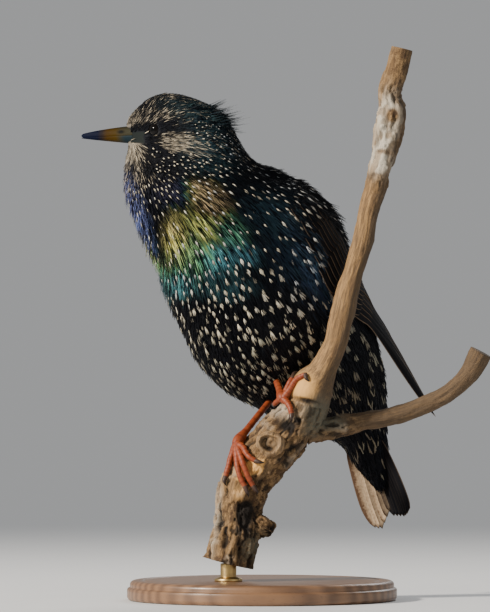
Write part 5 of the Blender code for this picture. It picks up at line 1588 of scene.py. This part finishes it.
@dataclass
class Perch:
    """The cut branch: bark-covered stem, bare tall limb, side limb, knob and stubs."""

    branch: Branch
    # pits: holes and the fork's crotch, carved and also darkened with painted shade.
    pits: tuple = marks(
        (246, 513, 9, 13, 5, 2.4), (268, 443, 4, 5, 20, 0.8), (272, 532, 8, 8, 0, 0.5),
        (225, 540, 3, 12, 5, 0.8), (230, 575, 3, 12, 0, 0.8), (240, 552, 2.5, 8, 0, 0.7),
        (284, 424, 9, 6, 30, 1), (292, 446, 3, 6, 0, 0.6), (398, 172, 3, 5, 0, 0.6),
        (306, 400, 13, 2.4, 12, 0.9), (296, 418, 6, 3, 20, 0.9), (218, 520, 2, 9, 0, 0.8))
    barks: tuple = marks(
        (391, 117, 6, 7, 0, 1.6), (400, 60, 14, 30, 10, 0.8), (384, 153, 8, 3, 10, 0.8))
    # Patches of bare wood; where they are strongest, the wood is painted gold as sunlit wood.
    bare_and_sunlit: tuple = marks(
        (250, 466, 19, 10, -20, 1.3), (302, 386, 14, 14, 0, 0.9), (240, 492, 10, 14, 0, 0.55))
    whites: tuple = marks(
        (283, 412, 13, 9, 25, 0.5), (386, 120, 13, 27, 8, 1), (379, 160, 13, 18, 8, 1),
        (217, 520, 3, 36, 7, 0.5))
    mosses: tuple = marks(
        (318, 412, 15, 16, 20, 1), (310, 430, 10, 8, 0, 0.6), (332, 422, 14, 8, 0, 0.8),
        (258, 548, 18, 18, 0, 1))
    # The way that the side away from the key light faces; bark turned this way gets painted shade.
    painted_shade_side: tuple = (0.85, 0, -0.5)
    stub: tuple = ((-4, -12, 32, 5.2), (0.5, -12.5, 29.8, 4.6), (3.4, -12.8, 28.2, 3.6),
                   (4.2, -13, 27.7, 2.6))
    knob_foot: tuple = (4.6, -13, 62.6)
    knob_face: tuple = (3, -24.2, 63.1)
    knob_profile: tuple = ((4.6, -11), (5.2, -6), (5.4, -2.6), (5.3, -1.1), (4.8, -0.4), (4.2, -0.3),
                           (3.6, -0.4), (3.1, -0.7), (2.6, -0.9), (2.1, -1), (1.6, -1), (1.2, -1),
                           (0.7, -1), (0.25, -1))

    def shares(self, places: Array, marks: Sequence[Mark]) -> Array:
        """How strongly marks cover the side of places that faces the viewer."""
        x, y = seen(places)
        return np.clip(sum(m.value * m.cover(x, y) for m in marks), 0, 1)

    def limb(self, middle: Array, radius: Array, front: Array, side: Array, sides: int, bark: Array,
             seed: int, dull: float = 0.0) -> Shell:
        """A length of branch with its relief.

        A point is the middle plus the radius times the turned way, plus ridges that run along
        the grain, knobs and flakes of noise, less the pits.

        Args:
            middle: places along it.
            radius: radii there.
            front: ways to the viewer's side.
            side: ways square to those.
            sides: points in a ring.
            bark: the share of bark at each place.
            seed: the noise's seed.
            dull: painted shade added over its whole length.

        Returns:
            The closed shell.
        """
        turn = circle(sides)
        way = spokes(turn, front, side)
        wide = radius[:, None]
        run = reaches(middle)[:, None]
        lay = np.stack(np.broadcast_arrays(np.cos(turn) * wide, np.sin(turn) * wide, run), -1)
        plain = middle[:, None] + wide[..., None] * way
        ahead = way @ VIEWER
        facing = ease(-0.1, 0.4, ahead)
        pit, scab, clean = (self.shares(plain, m) * facing for m in (self.pits, self.barks, self.bare_and_sunlit))
        white = self.shares(plain, self.whites) * ease(-0.5, 0.1, ahead)
        moss = self.shares(plain, self.mosses) * ease(-0.3, 0.2, ahead)
        crust = bark[:, None] * np.ones((1, sides))
        ridges = rough(lay, (1.5, 1.5, 16), seed) * (1 - 0.6 * crust)
        ridges = ridges + 0.6 * crust * rough(lay, (1.4, 1.4, 5), seed + 2)
        lump = rough(lay, (5.5, 5.5, 7), seed + 3, 4)
        plates = ease(0.46, 0.56, rough(lay, (2.6, 2.6, 4.5), seed + 5))
        # Cracks are carved and also darkened with painted shade through pit.
        crack = ease(0.54, 0.64, rough(lay, (1.6, 1.6, 4.5), seed + 9, 4)) * crust
        height = ((ridges - 0.5) * (0.6 + 1.2 * crust) + (lump - 0.5) * (0.8 + 2.6 * crust)
                  + (plates - 0.5) * 0.8 * crust - 0.7 * crack - 1.6 * pit
                  + 0.9 * white * (rough(lay, (1.8, 1.8, 2.4), seed + 11) - 0.5))
        bare = np.clip(1 - crust * (0.55 + 0.45 * (1 - plates)), 0, 1)
        bare = (np.clip(bare + clean, 0, 1) + 0.5 * clean) * (1 - scab)
        white = white * (1 - scab) * (0.5 + plates * 0.6) + 0.2 * crust * ease(0.62, 0.74, lump)
        return capped(plain + way * height[..., None], {
            "bare": bare, "white": np.clip(white, 0, 1),
            "pit": np.clip(pit * 1.1 + crack * 0.85 * (1 - 0.8 * clean), 0, 1), "moss": moss, "lay": lay,
            # away: painted shade on the side turned from the key light, with dull added.
            "away": np.clip(ease(0.08, 0.55, way @ np.array(self.painted_shade_side)) + dull, 0, 1)})

    def build(self) -> None:
        """Builds the stem with its knob and broken stub, the tall limb and the side limb."""
        at = np.linspace(0, FORK_SHARE + 0.004, 300)
        stem = self.limb(*self.branch.frame_at(at), 132, 1 - 0.35 * ease(0.25, 0.34, at), 4)
        rows = along(self.stub, 60)
        side, upper = frames_along(rows[:, :3], -VIEWER)
        stub = self.limb(rows[:, :3], rows[:, 3], upper, side, 64, np.full(60, 0.9), 44)
        Shell.join([stem, self.knob(), stub]).build("perch_stem_bark", Bark().make(), "bark", "perch_stem")

        at = np.linspace(FORK_SHARE - 0.012, 1, 380)
        middle, radius, front, side = self.branch.frame_at(at)
        swell = ease(0.72, 0.77, at) * (1 - ease(0.94, 0.97, at))
        collar = 1 + 0.22 * hump(FORK_SHARE + 0.022, 0.022, at)
        self.limb(middle, radius * collar, front, side, 84, 0.08 + 0.45 * swell, 14).build(
            "perch_upper_limb_wood", Bark().make(), "bark", "perch_upper_limb")

        rows = along(SIDE_LIMB, 240)
        side, upper = frames_along(rows[:, :3], -VIEWER)
        crust = 0.75 * (1 - ease(0.15, 0.4, np.linspace(0, 1, 240))) + 0.12
        # dull 1: the whole side limb is painted in shade.
        self.limb(rows[:, :3], rows[:, 3], upper, side, 72, crust, 24, 1).build(
            "perch_right_limb_wood", Bark().make(), "bark", "perch_right_limb")

    def knob(self) -> Shell:
        """The healed knob that faces the viewer: a disc with a raised rim and a hollow."""
        centre = np.array(self.knob_face)
        way = unit(centre - np.array(self.knob_foot))
        first = unit(np.cross(way, UP))
        turn = circle(96)
        share = np.linspace(0, 1, 70)
        fine = read_curve(np.linspace(0, 1, len(self.knob_profile)), self.knob_profile, share)[:, None]
        radius, deep = fine[..., 0], fine[..., 1]
        ways = spokes(turn, first[None], np.cross(first, way)[None])
        plain = centre + deep[..., None] * way + radius[..., None] * ways
        noise = rough(plain, (1.8, 1.8, 2.4), 33)
        face = ease(-2.6, -0.4, deep) * (1 - ease(4.6, 5.3, radius))
        wave = 0.5 * np.sin(turn * 2 + 1)[None] + 0.4 * np.sin(turn * 3)[None]
        rim = hump(3.9 + 0.35 * wave, 0.75, radius)
        bulge = 0.5 * np.cos(turn - 2.6)[None]
        boss = hump(1.3 + bulge, 0.9, radius) * (0.5 + bulge)
        dish = hump(2.2, 0.95, radius) * ease(-0.5, 0.6, np.cos(turn + 0.5))[None]
        lift = face * (0.8 * rim + 0.9 * boss - 1.4 * dish) + (noise - 0.5) * 1.5
        swell = 0.1 * wave + 0.24 * (noise - 0.5)
        grid = plain + (plain - centre) * swell[..., None] + way * lift[..., None]
        flat = np.ones(noise.shape)
        # Painted shade in the knob's hollow.
        hollow = np.clip(face * dish * 1.2 + 0.3 * face * (1 - rim), 0, 1) * flat
        # The knob gets a little painted shade through away.
        return capped(grid, {
            "bare": np.clip(0.6 + 0.6 * noise, 0, 1), "white": 0.15 * noise, "pit": hollow * 0.9,
            "moss": flat * 0, "lay": grid - centre, "away": flat * 0.1})


# --- legs ---
@dataclass
class Foot:
    """One leg with its toes and claws, gripping the branch.

    A toe is four places on the bark, as a share of the branch and degrees round it.
    """

    name: str
    branch: Branch
    middle: tuple
    heel: tuple
    toes: tuple
    hint: tuple = (0.3, 1, 0.2)

    def rings(self, rows: Any, steps: int, turn: Array) -> tuple[Array, Array]:
        """Places and radii read along a smooth curve, and the ways all round each of them."""
        curve = along(rows, steps)
        return curve[:, None], spokes(turn, *frames_along(curve[:, :3], np.array(self.hint)))

    def toe_path(self, toe: tuple) -> list[tuple]:
        """A toe's places and radii over the bark, from the foot's middle to the claw's root."""
        return [(*self.branch.on(*self.middle, 2.2), 1.7)] + [
            (*self.branch.on(*at, 1.58 - 0.1 * k), 1.22 - 0.15 * k) for k, at in enumerate(toe[:3])]

    def scaled(self, rows: Any, steps: int, sides: int, scutes: float, pads: float) -> Shell:
        """A rod with scutes: over each scute the radius rises and drops at its lower rim.

        Args:
            rows: places and radii.
            steps: rings along it.
            sides: points in a ring.
            scutes: plates along it.
            pads: how far the sole swells.

        Returns:
            The closed shell.
        """
        turn = circle(sides)
        curve, ways = self.rings(rows, steps, turn)
        run = np.linspace(0, 1, steps)[:, None]
        saw = run * scutes % 1
        groove = np.clip(hump(0, 0.14, saw) + hump(1, 0.14, saw), 0, 1)
        knuckle = np.sin(run * math.pi * 3) ** 2 * pads
        front = ease(-0.3, 0.5, np.cos(turn - 1.2))[None]
        radius = curve[..., 3] + (0.1 * saw - 0.12 * groove) * front + knuckle * (1 - front)
        return capped(curve[..., :3] + radius[..., None] * ways,
                      {"joint": groove * (0.35 + 0.65 * front), "back": (1 - front) * np.ones((steps, 1))})

    def build(self) -> None:
        """Builds the tarsus and toes as one piece, and each claw, a bent cone."""
        pad, heel = self.branch.on(*self.middle, 2.6), np.array(self.heel)
        up = unit(heel - pad)
        rows = [(*(heel + up * 2), 2.1), (*heel, 1.75), (*(heel * 0.55 + pad * 0.45), 1.3),
                (*(heel * 0.25 + pad * 0.75), 1.4), (*pad, 1.7), (*(pad - up * 1), 1.2)]
        shells = [self.scaled(rows, 130, 32, 9, 0.05)]
        for number, toe in enumerate(self.toes):
            shells.append(self.scaled(self.toe_path(toe), 90, 28, 9 if number < 3 else 6, 0.14))
        Shell.join(shells).build("foot_" + self.name, LegScales().make(), "leg", "leg_" + self.name)
        for number, toe in enumerate(self.toes, 1):
            end = self.toe_path(toe)[-1][:3]
            arch = self.branch.on(*(np.array(toe[2]) + np.array(toe[3])) / 2, 1.9)
            way = unit(arch - end)
            rows = [(*(end - way * 0.3), 0.95), (*(end + way * 0.9), 0.92), (*arch, 0.72),
                    (*self.branch.on(*toe[3], 0.45), 0.16)]
            curve, ways = self.rings(rows, 36, circle(20))
            run = np.linspace(0, 1, 36)[:, None] * np.ones((1, 20))
            claw = capped(curve[..., :3] + curve[..., 3:] * ways, {"run": run})
            name = "claw_%s_%d" % (self.name, number)
            claw.build(name + "_horn", ClawHorn().make(), "claw", name)


# --- stand and stage ---
@dataclass
class Stand:
    """A turned wooden base and a short brass rod with its collar."""

    crisp: float = 28.0

    def lathe(self, profile: Any, x: float, y: float, sides: int, steps: int) -> Shell:
        """A profile of radius and height turned about an upright line.

        Args:
            profile: rows of radius and height.
            x: the line's X.
            y: its Y.
            sides: points in a ring.
            steps: rings, evenly along the profile.

        Returns:
            The closed shell.
        """
        rows = np.array(profile, float)
        marks = reaches(rows)
        at = np.linspace(0, marks[-1], steps)
        radius, height = (np.interp(at, marks, column)[:, None] for column in rows.T)
        turn = circle(sides)
        return capped(np.stack((x + radius * np.cos(turn), y + radius * np.sin(turn),
                                np.repeat(height, sides, 1)), -1))

    def build(self) -> None:
        """Builds the base and the rod."""
        r, h = BASE_RADIUS, BASE_HEIGHT
        profile = [(0.5, 0), (r - 1.6, 0), (r - 0.5, 0.35), (r, 1.2), (r, 4.4), (r - 0.3, 4.9),
                   (r - 1.1, 5.2), (r - 1.2, 5.6), (r - 1.1, 6), (r - 1.25, 6.9), (r - 1.8, 7.6),
                   (r - 2.8, h), (r - 6, h), (r - 6.5, h - 0.4), (r - 7.1, h - 0.4), (r - 7.6, h), (0.5, h)]
        self.lathe(profile, 0, 0, 160, 200).build(
            "stand_base_turned", TurnedWood().make(), "stand_wood", "stand_base", sharp=self.crisp)
        low, top = h + 0.02, STEM_FOOT_Z - 0.05
        profile = [(0.4, low), (5.4, low), (5.6, low + 0.3), (5.5, low + 1), (4.4, low + 1.5),
                   (ROD_RADIUS, low + 1.9), (ROD_RADIUS, top - 0.5), (ROD_RADIUS - 0.1, top), (0.4, top)]
        self.lathe(profile, *BRANCH[0][:2], 96, 90).build(
            "stand_rod_brass", BrushedBrass().make(), "stand_brass", "stand_rod", sharp=self.crisp)


class Lamp(Enum):
    """The studio's lamps: place, size, power and colour."""

    KEY = ((-2.1, -1.3, 1.35), 0.28, 150, (1, 0.93, 0.83))
    FILL = ((1.9, -1.9, 0.7), 1.6, 3, (0.93, 0.96, 1))
    BACK = ((0.9, 2, 1.6), 1.2, 22, (1, 1, 1))


@dataclass
class Studio:
    """Camera, pale floor and soft light."""

    distance: float = 2.5
    middle: tuple = (-0.0068, 0.1176)
    tall: float = 0.2448
    sensor: float = 36.0
    lit_height: float = 0.12
    pale: tuple = (0.8, 0.81, 0.82)
    glow: float = 0.44
    floor_rings: tuple = (0.0005, 0.2, 0.5, 1, 2, 5, 12)

    def build(self) -> None:
        """Sets up the camera at the front, the floor, the lamps and the sky."""
        data = bpy.data.cameras.new("camera")
        data.lens = self.sensor * self.distance / self.tall
        data.clip_start, data.clip_end = 0.05, 60
        camera = link("camera", data)
        camera.location = (self.middle[0], -self.distance, self.middle[1])
        camera.rotation_euler = (math.pi / 2, 0, 0)
        bpy.context.scene.camera = camera
        for lamp in Lamp:
            place, size, power, colour = lamp.value
            light = bpy.data.lights.new(lamp.name.lower(), "AREA")
            light.shape, light.size, light.energy, light.color = "DISK", size, power, colour
            bulb = link(lamp.name.lower(), light)
            bulb.location = place
            way = Vector((0.0, 0.0, self.lit_height)) - Vector(place)
            bulb.rotation_euler = way.to_track_quat("-Z", "Y").to_euler()
        world = bpy.data.worlds.new("studio")
        world.use_nodes = True
        sky = world.node_tree.nodes["Background"].inputs
        sky["Color"].default_value, sky["Strength"].default_value = (*self.pale, 1.0), self.glow
        bpy.context.scene.world = world
        self.floor()

    def floor(self) -> None:
        """A wide pale floor that fades into the sky's own tone away from the stand."""
        p = Painter("floor")
        where = p.place()
        reach = p.node("VectorMath", {"operation": "LENGTH"}, {0: where}, "Value")
        wear = p.noise(where, 30)
        p.dress(Base_Color=p.blend(wear, (0.7, 0.705, 0.71), (0.74, 0.745, 0.75)), Roughness=0.7)
        glow = p.node("Emission", {}, {"Color": (*self.pale, 1), "Strength": self.glow})
        near = Value(p, p.shader.outputs[0])
        joined = p.node("MixShader", {}, {0: reach.step(0.15, 0.9), 1: near, 2: glow})
        p.plug(p.tree.nodes["Material Output"].inputs["Surface"], joined)
        ring, turn = np.array(self.floor_rings)[:, None], circle(96)[None]
        grid = np.stack((ring * np.cos(turn), ring * np.sin(turn), 0 * ring * turn - 0.00002), -1)
        mesh = bpy.data.meshes.new("floor")
        mesh.from_pydata(grid.reshape(-1, 3).tolist(), [], net(len(ring), 96, True)[:, ::-1].tolist())
        mesh.materials.append(p.material)
        link("floor", mesh)


# --- the whole ---
RIGHT_FOOT = ((0.195, 70), (5.5, 5, 82.5), (
    ((0.175, 66), (0.157, 54), (0.145, 50), (0.133, 42)),
    ((0.176, 44), (0.16, 24), (0.144, 0), (0.127, -16)),
    ((0.181, 34), (0.167, 10), (0.153, -14), (0.14, -34)),
    ((0.198, 50), (0.193, 28), (0.194, 10), (0.201, -6))))
LEFT_FOOT = ((0.33, 64), (4, 0, 93), (
    ((0.35, 60), (0.368, 54), (0.382, 40), (0.376, 16)),
    ((0.322, 46), (0.314, 32), (0.304, 20), (0.292, 8)),
    ((0.314, 78), (0.3, 86), (0.288, 98), (0.282, 112)),
    ((0.344, 77), (0.354, 82), (0.362, 88), (0.372, 120))))


def main() -> None:
    """Builds each sub-assembly in order, each piece logging its triangle count."""
    logging.basicConfig(level=logging.INFO, format="%(name)s: %(message)s")
    Studio().build()
    trunk, branch, head = Trunk(), Branch(), Head()
    coat = Coat(trunk, Markings())
    coat.build_skin()
    coat.build_down()
    coat.build_body()
    coat.build_head()
    Wing(trunk, 1).build("left")
    Wing(trunk, -1).build("right")
    Tail(trunk).build()
    head.build_bill("bill_upper")
    head.build_bill("bill_lower")
    for side, sign in (("left", 1), ("right", -1)):
        head.build_eye(side, sign)
        head.build_lid(side, sign)
    Foot("right", branch, *RIGHT_FOOT).build()
    Foot("left", branch, *LEFT_FOOT).build()
    Perch(branch).build()
    Stand().build()


if __name__ == "__main__":
    main()
